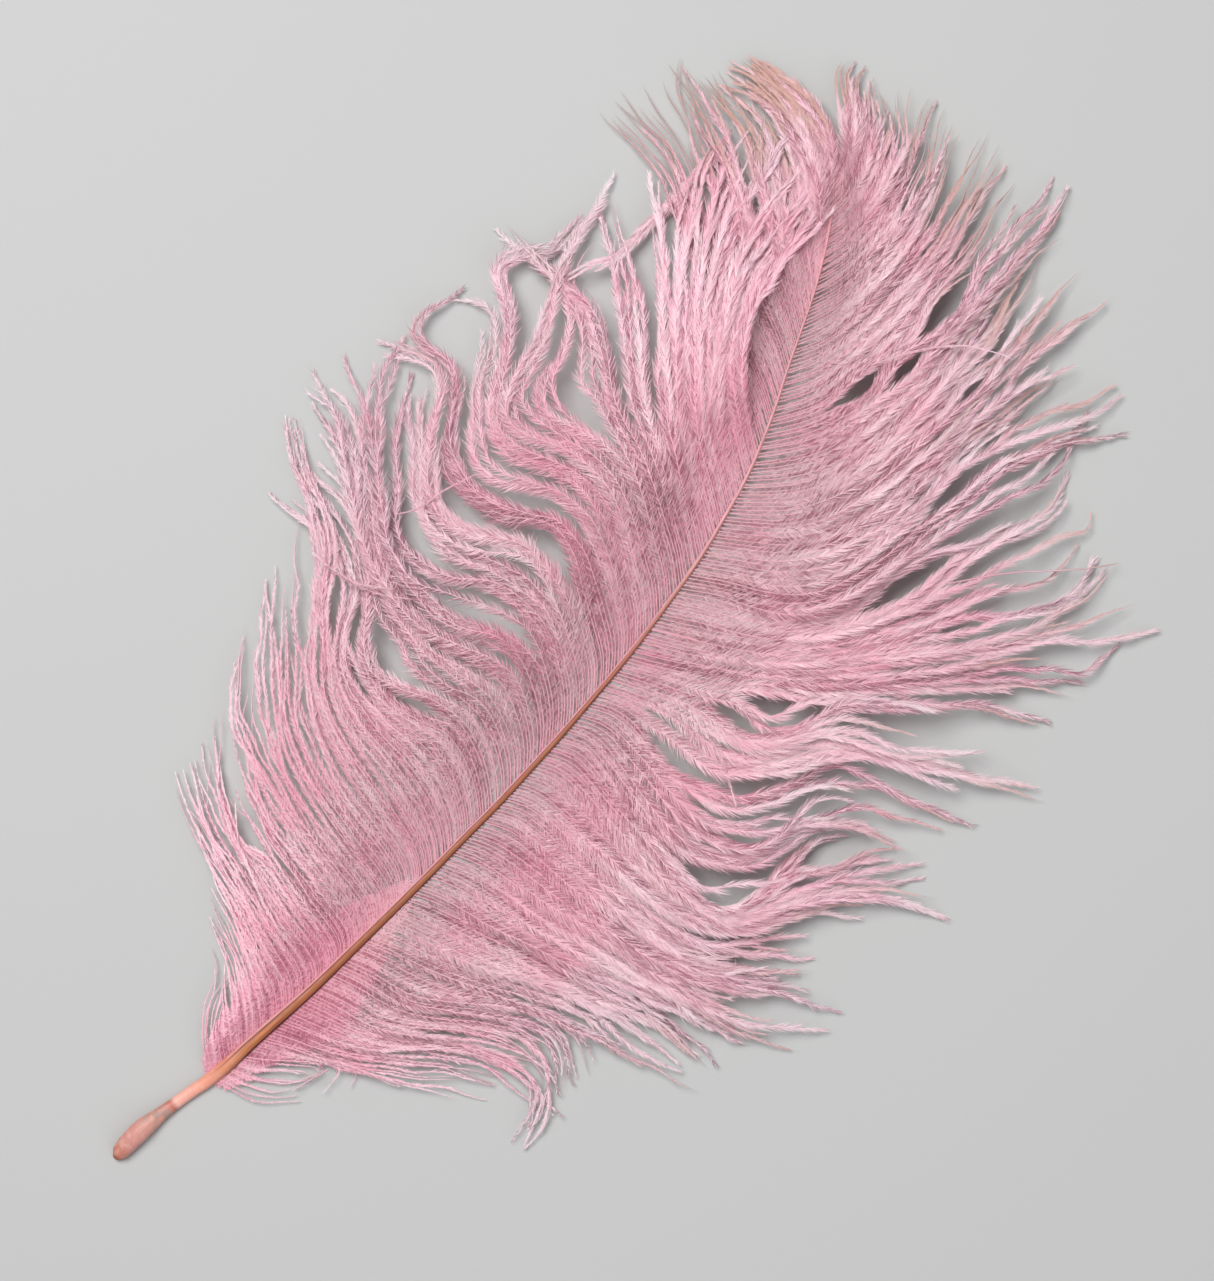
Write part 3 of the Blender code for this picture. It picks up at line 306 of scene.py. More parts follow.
RIGHT_UPPER = RIGHT_MIDDLE[-1:] + [
    (98.7, [(21.3, 101.1), (28, 103.8), (34, 106.6), (39.5, 110.8), (44.5, 116.3), (49.5, 122.8),
         (54, 129), (58.5, 134.5), (62.3, 138.8), (64, 143), (64.3, 148.4)]),
    (100.5, [(21.5, 103.2), (28, 105.4), (34, 108), (39, 112), (43.5, 117.7), (47.5, 124), (51, 130.5),
         (54.5, 136.5), (58, 142), (61.5, 147), (63.8, 150.5), (62.2, 154.5)]),
    (102.5, [(21.5, 105), (28, 107.2), (34, 109.5), (38, 112.2), (41.5, 117), (44.5, 123), (47, 129),
         (49.7, 135), (52.5, 140.5), (55.5, 145.5), (57, 150.5), (56.2, 156.3)]),
    (104.7, [(21.5, 107.5), (27, 109), (32, 111), (36, 114), (39.3, 119), (41.7, 125.5), (43.8, 132),
         (45.8, 138), (48.3, 143.5), (51, 148), (53.7, 152), (54.6, 156.5), (53.6, 161.5),
         (52.8, 166.3)]),
    (107, [(21.3, 109.7), (26.5, 111.5), (31.3, 114), (35, 117.5), (38, 122.7), (40.2, 129), (42, 136),
         (43.8, 142.5), (46.2, 148.5), (49, 153.5), (51.8, 158), (55, 161.8), (60.2, 166.5)]),
    (109.5, [(21, 112), (26, 114), (30.5, 117), (34, 121), (36.8, 126.5), (38.8, 133), (40.3, 140),
         (41.7, 147), (43.5, 153.5), (46.3, 159), (49.8, 163.5), (52.8, 168), (54.2, 173.3)]),
    (112, [(20.8, 114.7), (25.5, 117), (29.7, 120.5), (33, 125), (35.5, 131), (37.3, 138), (38.8, 145),
         (40.3, 152), (42, 158.5), (43.7, 164), (45.8, 170.3)]),
    (115, [(20.3, 117.7), (24.8, 120.2), (28.8, 124), (31.8, 129), (34, 135.3), (35.8, 142.5),
         (37.2, 150), (38.7, 157.5), (40, 164.5), (41.8, 171.5), (43.6, 178), (45.5, 184)]),
    (118, [(19.8, 120.8), (24, 123.6), (27.8, 127.8), (30.5, 133), (32.5, 139.5), (34, 147), (35.2, 155),
         (36, 163), (36.8, 171), (37.3, 178), (38.5, 184.3)]),
    (121, [(19.2, 124), (23.2, 127.2), (26.5, 131.7), (29, 137.3), (30.8, 144.3), (32, 152.3), (33, 160),
         (33.5, 167.5), (33, 175), (31.8, 182)]),
    (124.5, [(18.4, 127.6), (22, 131), (25, 135.8), (27.2, 141.8), (28.7, 149), (29.4, 157), (29.7, 165),
         (30, 173), (31, 180), (33.2, 187.5)]),
    (128, [(17.4, 131.2), (20.8, 135), (23.6, 140), (25.6, 146.3), (26.9, 153.5), (27.6, 161.5),
         (28.2, 170), (29.3, 178), (30.2, 186), (29.7, 194)]),
    (131.5, [(16.3, 134.8), (19.5, 138.8), (22, 144), (23.8, 150.5), (24.8, 158), (25.2, 166),
         (25.2, 174), (25.8, 181), (26.8, 188), (26.5, 194)]),
    (135, [(15.2, 138.5), (18, 142.8), (20.2, 148.3), (21.8, 155), (22.6, 162.8), (22.7, 171),
         (22.2, 178), (21.6, 183.5), (22.3, 189.5)]),
    (139, [(13.9, 142.5), (16.4, 147), (18.3, 153), (19.5, 160), (20, 168), (19.7, 176), (18.8, 183),
         (18.2, 191.6)]),
    (143, [(12.6, 146.8), (14.8, 151.6), (16.5, 158), (17.4, 165.5), (17.7, 173.5), (17.3, 181),
         (16.9, 187), (16.6, 193.2)]),
    (147, [(11.3, 151), (13.2, 156.2), (14.6, 163), (15.2, 171), (15, 179), (14.3, 186.5),
         (13.6, 193.8)]),
    (151, [(9.9, 155.5), (11.5, 161), (12.5, 168), (12.6, 176), (11.4, 183), (9.6, 188), (8.3, 191.6)]),
    (155.5, [(8.4, 160), (9.8, 166), (10.4, 173), (9.8, 180.5), (7.8, 187), (6, 193)]),
    (159, [(6.9, 163.5), (8, 169.5), (7.9, 176), (6.6, 182), (4.9, 187), (3.4, 193)]),
    (162.5, [(5.2, 167), (5.8, 172.5), (5.4, 178), (4.2, 183.5), (1.2, 187.5), (-1.3, 192.5)]),
    (165.5, [(3.6, 169.5), (3.4, 174.5), (2.3, 180), (0.6, 184.5), (-1.8, 186.8), (-4.2, 188.4)]),
    (168, [(1.6, 172), (0.9, 176.5), (-0.6, 181), (-2.8, 185), (-4.9, 188), (-6.2, 190.5)]),
    (170.5, [(-0.2, 174.5), (-1.6, 178.5), (-3.8, 182.5), (-6.5, 186), (-8, 188), (-8.3, 190.8)]),
    (172.5, [(-2.2, 176.5), (-4, 179.8), (-6.3, 183), (-8.6, 185.8), (-10, 187.8), (-10.2, 190.6)]),
    (173.5, [(-3.4, 176.8), (-5.2, 179), (-7.4, 181.8), (-9.8, 185), (-11.3, 187), (-12.2, 189.8)]),
]
print(len(RIGHT_LOWER), len(RIGHT_MIDDLE), len(RIGHT_UPPER), "routes on the right")

# %% [markdown]
# ## From a few points to a smooth route
# A curve that runs through all the drawn points needs no handles, because at each point it takes its
# direction from the points beside it. It is then walked in even steps, so that a share of the way means
# the same on a short route and on a long one.

# %% Smooth routes
CURVE_STEPS = 12        # points on the curve for each pair of drawn points


def unit(vectors):
    """Each row of a table as a direction of length 1."""
    return vectors / np.maximum(np.linalg.norm(vectors, axis=1), 1e-9)[:, None]


def path_length(path):
    return float(np.linalg.norm(np.diff(path, axis=0), axis=1).sum())


def distances_along(path):
    """How far each point of a path is from its start, along the path."""
    return np.r_[0, np.cumsum(np.linalg.norm(np.diff(path, axis=0), axis=1))]


def read_at(where, gone, values):
    """The rows of a table that goes with the distances gone, read off at other distances."""
    return np.column_stack([np.interp(where, gone, values[:, k]) for k in range(values.shape[1])])


def evenly(path, count):
    """The path again, with its points at even distances."""
    gone = distances_along(path)
    return read_at(np.linspace(0, gone[-1], count), gone, path)


def smooth_route(points, count=STEPS + 1):
    """A smooth curve through the points, in even steps."""
    p = np.array(points, float)
    p = np.vstack([2 * p[0] - p[1], p, 2 * p[-1] - p[-2]])
    a, b, c, d = p[:-3], p[1:-2], p[2:-1], p[3:]
    t = np.linspace(0, 1, CURVE_STEPS, endpoint=False)[:, None, None]
    curve = 2 * b + (c - a) * t + (2 * a - 5 * b + 4 * c - d) * t**2 + (3 * b - a - 3 * c + d) * t**3
    curve = 0.5 * curve.transpose(1, 0, 2).reshape(-1, p.shape[1])
    return evenly(np.vstack([curve, p[-2]]), count)


def comb_lines(routes):
    """Where each route leaves the shaft, and every route in even steps."""
    roots = np.array([leaves_at for leaves_at, _ in routes])
    lines = [smooth_route([(shaft_x(leaves_at), leaves_at)] + points) for leaves_at, points in routes]
    return roots, np.array(lines)


print("first left route ends at", smooth_route(LEFT_LOWER[0][1])[-1], "mm")

# %% [markdown]
# ## Where the vane parts
# Between some locks the vane lies open and the table shows through, in slits shaped like a willow leaf.
# Each row gives three points on the middle line of a slit and half of its width, in mm. Barbs that would
# run over it are moved aside to whichever edge most of them lies on, the more the nearer they are, so
# that no barb is cut or kinked.

# %% Where the vane parts
LEFT_SLITS = [
    ((-11.5, 97), (-6.5, 98.9), (-1.3, 95), 1.1), ((-23, 95.4), (-20, 95), (-16.5, 95.6), 0.6),
    ((-26, 90.2), (-24, 87.6), (-21, 86.9), 0.8), ((-15, 101), (-12, 102.8), (-9.5, 102.6), 0.7),
    ((-9, 104.6), (-7, 103.5), (-5.5, 102), 0.5), ((-11, 92.4), (-7, 93.1), (-4, 91), 0.6),
    ((-9, 90.1), (-7, 90.5), (-5.5, 89.8), 0.3), ((-11.5, 85.5), (-8.5, 86.4), (-6, 85.5), 0.6),
    ((-6, 86.6), (-3, 84.5), (-0.5, 81.5), 0.6), ((-15.5, 81.6), (-11, 82.6), (-6.5, 82.9), 0.7),
    ((-6, 79.8), (-4, 79.4), (-2, 78.4), 0.4), ((-21.5, 72.8), (-18.5, 69.9), (-15, 67.8), 1.2),
    ((-16, 68.6), (-13, 68.2), (-10, 67.9), 0.9), ((-17, 72), (-15.6, 71.4), (-14.3, 70.3), 0.5),
    ((-13, 71.7), (-11, 70.8), (-8.8, 70), 0.5), ((-9.5, 72.3), (-7.5, 71.5), (-5.5, 70.8), 0.4),
    ((-9.3, 69), (-7.5, 68.5), (-5.5, 68), 0.5), ((-11, 65.2), (-8, 65.6), (-5, 65.3), 0.7),
    ((-26.8, 107.4), (-26.3, 105.6), (-25.8, 104.2), 0.4),
    ((-29.5, 74.3), (-28, 71.5), (-26.5, 67.5), 0.4), ((-26.5, 64), (-25.3, 62.8), (-24.3, 61.5), 0.4),
    ((-24.5, 72.3), (-23.3, 70), (-20.8, 66), 0.3), ((-20, 65), (-18.5, 63.5), (-17, 62), 0.3),
    ((-32.2, 68), (-31.2, 65.8), (-30.5, 64), 0.4), ((-15, 117), (-12, 119.3), (-9, 121.8), 0.9),
    ((-22, 112.6), (-20, 113.6), (-18, 114.4), 0.7), ((-20.5, 32), (-18.6, 33.2), (-16.5, 35), 0.7),
]
RIGHT_SLITS = [
    ((35.5, 95.8), (38.3, 97), (40.6, 99), 1.5), ((42, 96), (42.5, 98.6), (44, 101.5), 0.6),
    ((31, 92.6), (34.5, 93.4), (39, 91.4), 0.7), ((40.5, 85), (42, 86), (43.5, 87.6), 0.6),
    ((43.5, 67.5), (46, 68.9), (49, 71), 0.9), ((47.5, 67), (50.5, 69), (52.5, 73), 0.9),
    ((51, 91.5), (53, 94.5), (56, 97.6), 0.4), ((53, 86), (54.3, 89.5), (56, 92.5), 0.6),
    ((28, 80.3), (31, 81.8), (35, 84), 0.4), ((25.5, 83), (28, 83.8), (30, 84.8), 0.3),
    ((25.5, 85), (27.5, 86.3), (29.5, 87.3), 0.3), ((58, 79.5), (59.6, 84.2), (61.2, 87.5), 0.7),
    ((45, 76.5), (47.5, 78.5), (50, 80), 0.4), ((20.3, 144.5), (20.6, 147.5), (21.3, 150.5), 0.6),
    ((24.6, 150), (24.7, 153.5), (25, 157), 0.4), ((24.2, 160), (24.2, 166), (24.8, 172), 0.5),
    ((35.4, 155), (35.6, 158), (35.9, 161), 0.5), ((38.4, 155), (38.5, 157.5), (38.6, 160), 0.4),
    ((42.2, 139), (42.4, 143.5), (42.7, 148), 0.4), ((41, 118), (44, 125), (48.5, 134.5), 0.4),
    ((55, 124), (56, 125.5), (57, 127), 0.4), ((57, 130), (58, 131.2), (59, 132), 0.4),
]
SLIT_MARGIN = 1.4       # how far the fringe of the barbs reaches into a slit again, mm
SLIT_REACH = 2.6        # how far from its middle a slit moves barbs, in times its half width
SLIT_POINTS = 25        # on the middle line of a slit
SOFTENED_OVER = 7       # steps of a barb over which its shift is evened out


def half_width(half, share):
    """Half of a leaf's width at a share of its length, with the margin of the fringe."""
    return (half + SLIT_MARGIN) * np.sin(math.pi * share) ** 0.6


def push_out(offset, edge, reach, near):
    """New distances from the middle of a slit, all on the side where most of the barb already lies."""
    side = 1.0 if (offset[near] * edge[near]).sum() >= 0 else -1.0
    depth = np.clip(offset * side / reach, -1, 1)
    moved = edge + (reach - edge) * np.clip(depth, 0, 1) + 0.15 * edge * np.clip(depth, -1, 0)
    return moved * side


def part(flat, slits):
    """The route of a barb, moved out of the slits that it would run over."""
    last_point = SLIT_POINTS - 1
    for first, middle, last, half in slits:
        line = smooth_route([first, middle, last], SLIT_POINTS)
        away = flat[:, None, :] - line[None, :, :]
        nearest = np.linalg.norm(away, axis=2).argmin(axis=1)
        heading = unit(np.gradient(line, axis=0))[nearest]
        normal = np.column_stack([-heading[:, 1], heading[:, 0]])
        offset = (away[np.arange(len(flat)), nearest] * normal).sum(axis=1)
        edge = half_width(half, nearest / last_point)
        reach = SLIT_REACH * edge + 1e-6
        near = (np.abs(offset) < reach) & (nearest > 0) & (nearest < last_point)
        if not near.any():
            continue
        shift = np.where(near, push_out(offset, edge, reach, near) - offset, 0.0)
        padded = np.pad(shift, SOFTENED_OVER // 2, mode="edge")
        shift = np.convolve(padded, np.full(SOFTENED_OVER, 1 / SOFTENED_OVER), "valid")
        flat = flat + normal * shift[:, None]
    return flat


print(len(LEFT_SLITS), "slits on the left,", len(RIGHT_SLITS), "on the right")

# %% [markdown]
# ## Between two routes
# Each barb starts between two routes and blends them. Further out it is drawn to the nearer one, because
# the barbules of neighbours catch each other and hold several barbs together as a lock. A lock holds
# twice: a little from the first eighth of the way on, and fully toward its end.

# %% Between two routes
FIRST_HOLD = (0.12, 0.5)  # shares of the way over which the first half of the pull sets in
LAST_HOLD = (0.5, 0.9)    # and the second half
MOST_HOLD = 0.97          # even at the end of a lock its barbs don't lie in one line


def ease(low, high, value):
    """0 below low, 1 above high and a soft step between."""
    share = np.clip((value - low) / (high - low), 0, 1)
    return share * share * (3 - 2 * share)


def between(start, lines, below, share, nearer, firmness):
    """The flat line of a barb from its start on the shaft, drawn to the nearer of two routes."""
    hold = firmness * (0.5 * ease(*FIRST_HOLD, WAY) + 0.5 * ease(*LAST_HOLD, WAY))
    drawn = share + (nearer - share) * np.clip(hold, 0, MOST_HOLD)
    flat = lines[below] * (1 - drawn)[:, None] + lines[below + 1] * drawn[:, None]
    flat[:, 0] += shaft_x(start) - flat[0, 0]
    flat[:, 1] += start - flat[0, 1]
    return flat


print("a lock holds from", FIRST_HOLD[0], "of the way and fully at", LAST_HOLD[1])

# %% [markdown]
# ## Sway and rise
# Waves of three lengths keep two neighbours from ever being alike. Every wave has a size and a length
# picked from two ranges, and it sets in gently over a stretch of the way. The arch is how high a barb
# rises on its way, and the rest is how high its end lies.

# %% Sway and rise
# for each wave: the ranges of its size and its length in mm, and the shares of the way where it sets in
SHORT_WAVE = ((0.05, 0.22), (7, 14), (0.2, 0.6))
MIDDLE_WAVE = ((0.05, 0.25), (16, 30), (0.05, 0.4))
LONG_WAVE = ((0.2, 0.7), (40, 70), (0.1, 0.7))
RISING_WAVE = ((0.1, 0.5), (25, 50), (0, 0.4))
END_SPLAY = 1.3         # how far the ends of barbs spread beside their lock, mm
END_FROM = 0.72         # share of the way where that starts
FULL_TURN = 6.28        # radians


def wave(gone, tall, long):
    """A slow wave along a barb, of a size and a length picked from two ranges in mm."""
    size = dice.uniform(*tall)
    return size * np.sin(gone * FULL_TURN / dice.uniform(*long) + dice.uniform(0, FULL_TURN))


def gentle_wave(gone, tall, long, sets_in):
    """A wave that sets in softly, so that the barb leaves the shaft straight."""
    return wave(gone, tall, long) * ease(*sets_in, WAY)


def sway(gone, reach, size, leads):
    """How far a barb swings to the side of its line, mm."""
    aside = gentle_wave(gone, *MIDDLE_WAVE)
    aside += gentle_wave(gone, *SHORT_WAVE)
    aside += gentle_wave(gone, *LONG_WAVE) * size
    if not leads:
        aside += dice.normal(0, END_SPLAY) * size * ease(END_FROM, 1.05, WAY / reach)
    return aside


def rise(start, gone, size, lift, rest):
    """How high a barb lies along its way, mm. It leaves the shaft a little below the middle."""
    root = shaft_height(start) - 0.2 * shaft_half(start)
    height = root + (rest - root) * WAY
    height += lift * size * np.sin(math.pi * WAY**0.7) * ease(0, 0.3, WAY)
    height += gentle_wave(gone, *RISING_WAVE)
    return np.maximum(height, LOWEST_BARB)


print("waves of", SHORT_WAVE[1], MIDDLE_WAVE[1], "and", LONG_WAVE[1], "mm")

# %% [markdown]
# ## Laying the barbs
# The barb nearest to a route leads its lock to the very end, and the others stop short of it, so that a
# lock ends in a few points. Here and there one joins the next lock, or leaves its own and lies over it. A
# barb is a dict: its path in mm, where its fringe starts and ends, and the traits that the vane has at
# its root.

# %% Laying the barbs
ROOT_JITTER = 0.15      # how far a barb's root is out of its even row, mm
UNEVEN = 0.9            # how unlike in height the locks are, and the barbs in one, mm
SLEEK_EVENS = 0.55      # share of that which goes where the vane is sleek
JOINS_NEXT = 0.08       # share of the barbs that join the lock beside their own
LEAVES = 0.07           # share of the barbs that leave theirs
LEAVES_BY = 3           # and how far their ends lie beside it, mm
LIES_OVER = 0.8         # how much higher they arch, mm
STOPS_SHORT = 0.3       # the most that a barb stops short of its lock's end, as a share of its length
FULL_SIZE = 45          # length from which a barb has its waves and its arch in full, mm
BARE_PER_MM = 0.15      # share of the barbs that end bare, for each mm of the bare end there
MOST_BARE = 0.85        # and the most of them that do
HARDLY_BARE = 0.6       # bare end of all the others, mm


def value_at(y, pairs):
    """The value of a trait at a place along the shaft, from its pairs of place and value."""
    places, values = zip(*pairs)
    return float(np.interp(y, places, values))


def add_chance(barb, size):
    """What chance adds to a barb: its painted shade, whether its end is bare, and how worn that is."""
    barb["painted_light"] = dice.random()
    is_bare = dice.random() < min(MOST_BARE, BARE_PER_MM * barb["bare"])
    barb["bare"] = barb["bare"] * dice.uniform(0.6, 1.5) * size if is_bare else HARDLY_BARE
    barb["worn"] = max(barb["worn"] * dice.uniform(0.6, 1.2) + (0.4 if is_bare else -0.1), 0)
    return barb


def lay_barb(start, flat, lock_lift, leads, slits, here):
    """One barb on its line, with the traits that hold here."""
    length = path_length(flat)
    gone = WAY * length
    reach = 1.0 if leads else 1 - STOPS_SHORT * dice.random() ** 1.5
    size = min(1.0, length / FULL_SIZE)
    along = unit(np.gradient(flat, axis=0))
    across = np.column_stack([along[:, 1], -along[:, 0]])
    aside = sway(gone, reach, size, leads)
    uneven = 1 - SLEEK_EVENS * here["sleek"]
    lift = here["arch"] + uneven * (lock_lift + dice.uniform(-UNEVEN, UNEVEN))
    if dice.random() < LEAVES and not leads:
        aside += dice.normal(0, LEAVES_BY) * size * ease(0.3, 1, WAY)
        lift += LIES_OVER
    flat = part(flat + across * aside[:, None], slits)
    path = np.column_stack([flat, rise(start, gone, size, lift, here["rest"])])
    half = shaft_half(start)
    # the rod and its fringe start just inside the side of the shaft
    barb = here | {"path": path, "start": 0.9 * half, "end": path_length(path) * reach}
    barb["radius"] = min(BARB_RADIUS, 0.05 + 0.35 * half)
    return add_chance(barb, size)


def lay_barbs(routes, slits, first, last, traits):
    """The barbs from first to last along the shaft, each between the two routes beside it."""
    roots, lines = comb_lines(routes)
    lock_lift = dice.normal(0, UNEVEN, len(roots))
    lock_hold = dice.uniform(0.7, 1.2, len(roots))
    barbs, place = [], first
    while place < last:
        start = place + dice.uniform(-ROOT_JITTER, ROOT_JITTER)
        place += BARB_PITCH / value_at(place, traits["crowd"])
        here = {name: value_at(start, pairs) for name, pairs in traits.items()}
        below = int(np.clip(np.searchsorted(roots, start) - 1, 0, len(roots) - 2))
        gap = roots[below + 1] - roots[below]
        share = float(np.clip((start - roots[below]) / gap, 0, 1))
        nearer = round(share)
        leads = abs(nearer - share) * gap < 0.5 * BARB_PITCH
        if dice.random() < JOINS_NEXT and not leads:
            nearer = 1 - nearer
        firmness = here["gather"] * lock_hold[below + nearer]
        flat = between(start, lines, below, share, nearer, firmness)
        barbs.append(lay_barb(start, flat, lock_lift[below + nearer], leads, slits, here))
    return barbs


print(STEPS, "steps for each barb, and a new barb every", BARB_PITCH, "mm where they aren't crowded")

# %% [markdown]
# ## A barb's rod
# The barb itself is a three-sided rod that thins to nothing. To place anything on a barb, one walks along
# its route: that gives a point and a heading for each distance, and from the heading the two directions
# across it. Three sides are enough, since the rod is only a pixel or two wide in the photograph.

# %% A barb's rod
ROD_SIDES = 3
ROD_STEP = 1.6          # between two rings of a rod, mm
THINS = 0.5             # how much a rod thins to its end, as a share
BARE_THINS = 0.15       # the same where its end is bare, because the rod shows there
POINTED = 15            # the last of so many parts of a rod runs out to a point


def walk(path, distances):
    """Points and directions at the distances along a path."""
    gone = distances_along(path)
    slope = np.gradient(path, gone, axis=0)
    return read_at(distances, gone, path), unit(read_at(distances, gone, slope))


def frame_along(heading):
    """The level direction across a path, and the one that stands up from it."""
    across = unit(np.cross(heading, np.array([0.0, 0.0, 1.0])))
    return across, np.cross(across, heading)


def rod(barb, row, rows):
    """The barb's own rod as vertices, triangles and places on the map."""
    start, end = barb["start"], barb["end"]
    rings = max(8, int((end - start) / ROD_STEP))
    distance = np.linspace(start, end, rings)
    at, heading = walk(barb["path"], distance)
    across, up = frame_along(heading)
    share = (distance - start) / (end - start)
    thins = THINS if barb["bare"] < 3 else BARE_THINS
    radius = barb["radius"] * (1 - thins * share) * np.clip((1 - share) * POINTED, 0.02, 1)
    ring = np.arange(rings - 1)
    points, places, faces = [], [], []
    for side in range(ROD_SIDES):
        angle = math.pi / 2 + side * 2 * math.pi / ROD_SIDES
        points.append(at + radius[:, None] * (math.cos(angle) * across + math.sin(angle) * up))
        places.append(np.column_stack([share, np.full(rings, (row + 0.1 + 0.4 * side) / rows)]))
        low = side * rings + ring
        high = (side + 1) % ROD_SIDES * rings + ring
        faces.append(np.column_stack([low, high, high + 1]))
        faces.append(np.column_stack([low, high + 1, low + 1]))
    return np.vstack(points), np.vstack(faces), np.vstack(places)


print("radius of a barb where it leaves the shaft:", BARB_RADIUS, "mm")

# %% [markdown]
# ## Barbules as ribbons
# A barbule is a narrow ribbon of three triangles that leaves the barb and then bends forward. Each one is
# turned a little at random, so that some catch the light and others hide from it. Hair curves would be
# easier to comb, but they don't export as a mesh, and made as arrays all these ribbons take only a few
# seconds.

# %% Barbules as ribbons
RIBBON_POINTS = 5       # two at its foot, two at its middle and one at its tip
WAIST = 0.9             # width at its middle, as a share of that at its foot
BENDS_FORWARD = 0.5     # how much its outer half turns toward the end of the barb
FRAYS = 0.16            # how far chance turns that half besides
MAP_REACH = 0.38        # how far ribbons reach to each side in their barb's row of the map


def map_places(barb, row, rows, side, distance, reach, width):
    """Where the five points of each ribbon lie on the map, in the row of their barb."""
    length = barb["end"] - barb["start"]
    share, reach = (distance - barb["start"]) / length, reach / length
    thin = 0.25 * width / length
    centre, spread = (row + 0.5) / rows, side * MAP_REACH / rows
    outline = ((-thin, 0), (thin, 0), (0.5 * reach - thin, 0.5), (0.5 * reach + thin, 0.5), (reach, 1))
    places = np.concatenate([
        np.column_stack([share + along, np.full(len(distance), centre + aside * spread)])
        for along, aside in outline
    ])
    places[:, 0] = np.clip(places[:, 0], 0, 1)
    return places


def ribbons(barb, row, rows, side, distance, lean, size, roll, twist, width):
    """A ribbon for each distance along a barb, as vertices, triangles and places on the map.

    The lean is its angle to the barb, the roll turns the whole fringe and the twist one ribbon alone.
    """
    count = len(distance)
    at, heading = walk(barb["path"], distance)
    across, up = frame_along(heading)
    angle = np.radians(lean)
    places = map_places(barb, row, rows, side, distance, np.cos(angle) * size, width)
    roll, twist, angle, size = (values[:, None] for values in (roll, twist, angle, size))
    out = side * (np.cos(roll) * across + np.sin(roll) * up)
    over = np.cos(roll) * up - np.sin(roll) * across
    first = np.cos(angle) * heading + np.sin(angle) * out
    then = unit(first + BENDS_FORWARD * heading + dice.normal(0, FRAYS, (count, 3)))
    middle = at + first * 0.5 * size
    tip = middle + then * 0.5 * size
    breadth = unit(np.cos(twist) * np.cross(over, first) + np.sin(twist) * over)
    breadth = breadth * side * 0.5 * width[:, None]
    waist = WAIST * breadth
    points = np.concatenate([at - breadth, at + breadth, middle - waist, middle + waist, tip])
    points[:, 2] = np.maximum(points[:, 2], LOWEST_BARBULE)
    n = np.arange(count)
    corners = ((0, 1, 3), (0, 3, 2), (2, 3, 4))
    faces = np.vstack([np.column_stack([n + corner * count for corner in triple]) for triple in corners])
    return points, faces[:, ::side], places


print("a barb of 40 mm carries about", 2 * int(40 / BARBULE_PITCH), "barbules")

# %% [markdown]
# ## The fringe
# The fringe is what makes the plume soft. Its barbules lie in tufts, their plane rolls slowly along the
# barb, they lengthen away from the shaft and they shorten toward the bare end. Where the vane is sleek
# they lie down along the barb, closer together.

# %% The fringe
ROOT_LEAN = 42          # angle between barbule and barb near the shaft, degrees
END_LEAN = 24           # the same near the end of the barb
LONGEST = 1.6           # no barbule is longer than this many times BARBULE_LENGTH


def ripple(count, long):
    """Noise of about size 1 that stays alike over a few neighbours, so that barbules lie in tufts."""
    noise = dice.normal(0, 1, count + long - 1)
    return np.convolve(noise, np.full(long, long**-0.5), "valid")


def fringe_length(barb, distance, gone, lies_down):
    """How long the barbules are along a barb, before chance changes each of them.

    They start short and gain as much in the first 2.5 mm as from there to FULL_FRINGE. Where they are sleek
    they are a quarter longer, and over the last stretch of the fringe they shorten again.
    """
    size = 0.4 + 0.3 * ease(0.3, 2.5, gone) + 0.3 * ease(2, FULL_FRINGE, gone) + 0.25 * lies_down
    size *= barb["inner"] + (barb["outer"] - barb["inner"]) * ease(6, 18, gone)
    to_bare = distance - (barb["end"] - barb["bare"])
    if barb["bare"] > 1:
        return size * (1 - 0.75 * ease(-14, 0, to_bare))
    return size * (1 - 0.5 * ease(-7 - 4 * barb["sleek"], 0, to_bare))


def fringe(barb, row, rows, side):
    """The barbules on one side of a barb."""
    start, end, sleek = barb["start"] + 0.2, barb["end"], barb["sleek"]
    distance = np.arange(start, end - barb["bare"], BARBULE_PITCH * (1 - 0.3 * sleek))
    count = len(distance)
    distance = distance + dice.uniform(-0.1, 0.1, count)
    gone = distance - start
    lies_down = sleek * ease(barb["sleek_from"], barb["sleek_from"] + 10, gone)
    lean = ROOT_LEAN - (ROOT_LEAN - END_LEAN) * ease(0.3, 0.95, gone / (end - start))
    lean = lean * (1 - 0.45 * lies_down)
    lean = lean + (5 - 2 * lies_down) * ripple(count, 5) + dice.normal(0, 7 - 4 * sleek, count)
    roll = wave(distance, (0.1, 0.6), (18, 40)) + 0.2 * ripple(count, 6)
    size = fringe_length(barb, distance, gone, lies_down)
    size *= BARBULE_LENGTH * (1 + 0.15 * ripple(count, 4)) * dice.uniform(0.65, 1.15, count)
    size = np.clip(size, 0.15, LONGEST * BARBULE_LENGTH)
    twist = dice.uniform(-0.6, 0.6, count) * (1 - 0.5 * lies_down)
    width = BARBULE_WIDTH * (0.7 + 0.35 * ease(3, 12, gone))
    return ribbons(barb, row, rows, side, distance, lean, size, roll, twist, width)


print("fringe at full length", FULL_FRINGE, "mm from the shaft, barbules", BARBULE_LENGTH, "mm long")

# %% [markdown]
# ## The felt
# Near the quill the down is matted, so felt is laid between the barbs there: short flat ribbons that
# stand almost square to the barb, much closer together and broader than barbules, which close the vane
# like a skin.

# %% The felt
FELT_PITCH = 0.13       # between two ribbons of felt where it reaches far, mm
FELT_LEAN = 72          # degrees
FELT_WIDTH = 1.7        # in times BARBULE_WIDTH


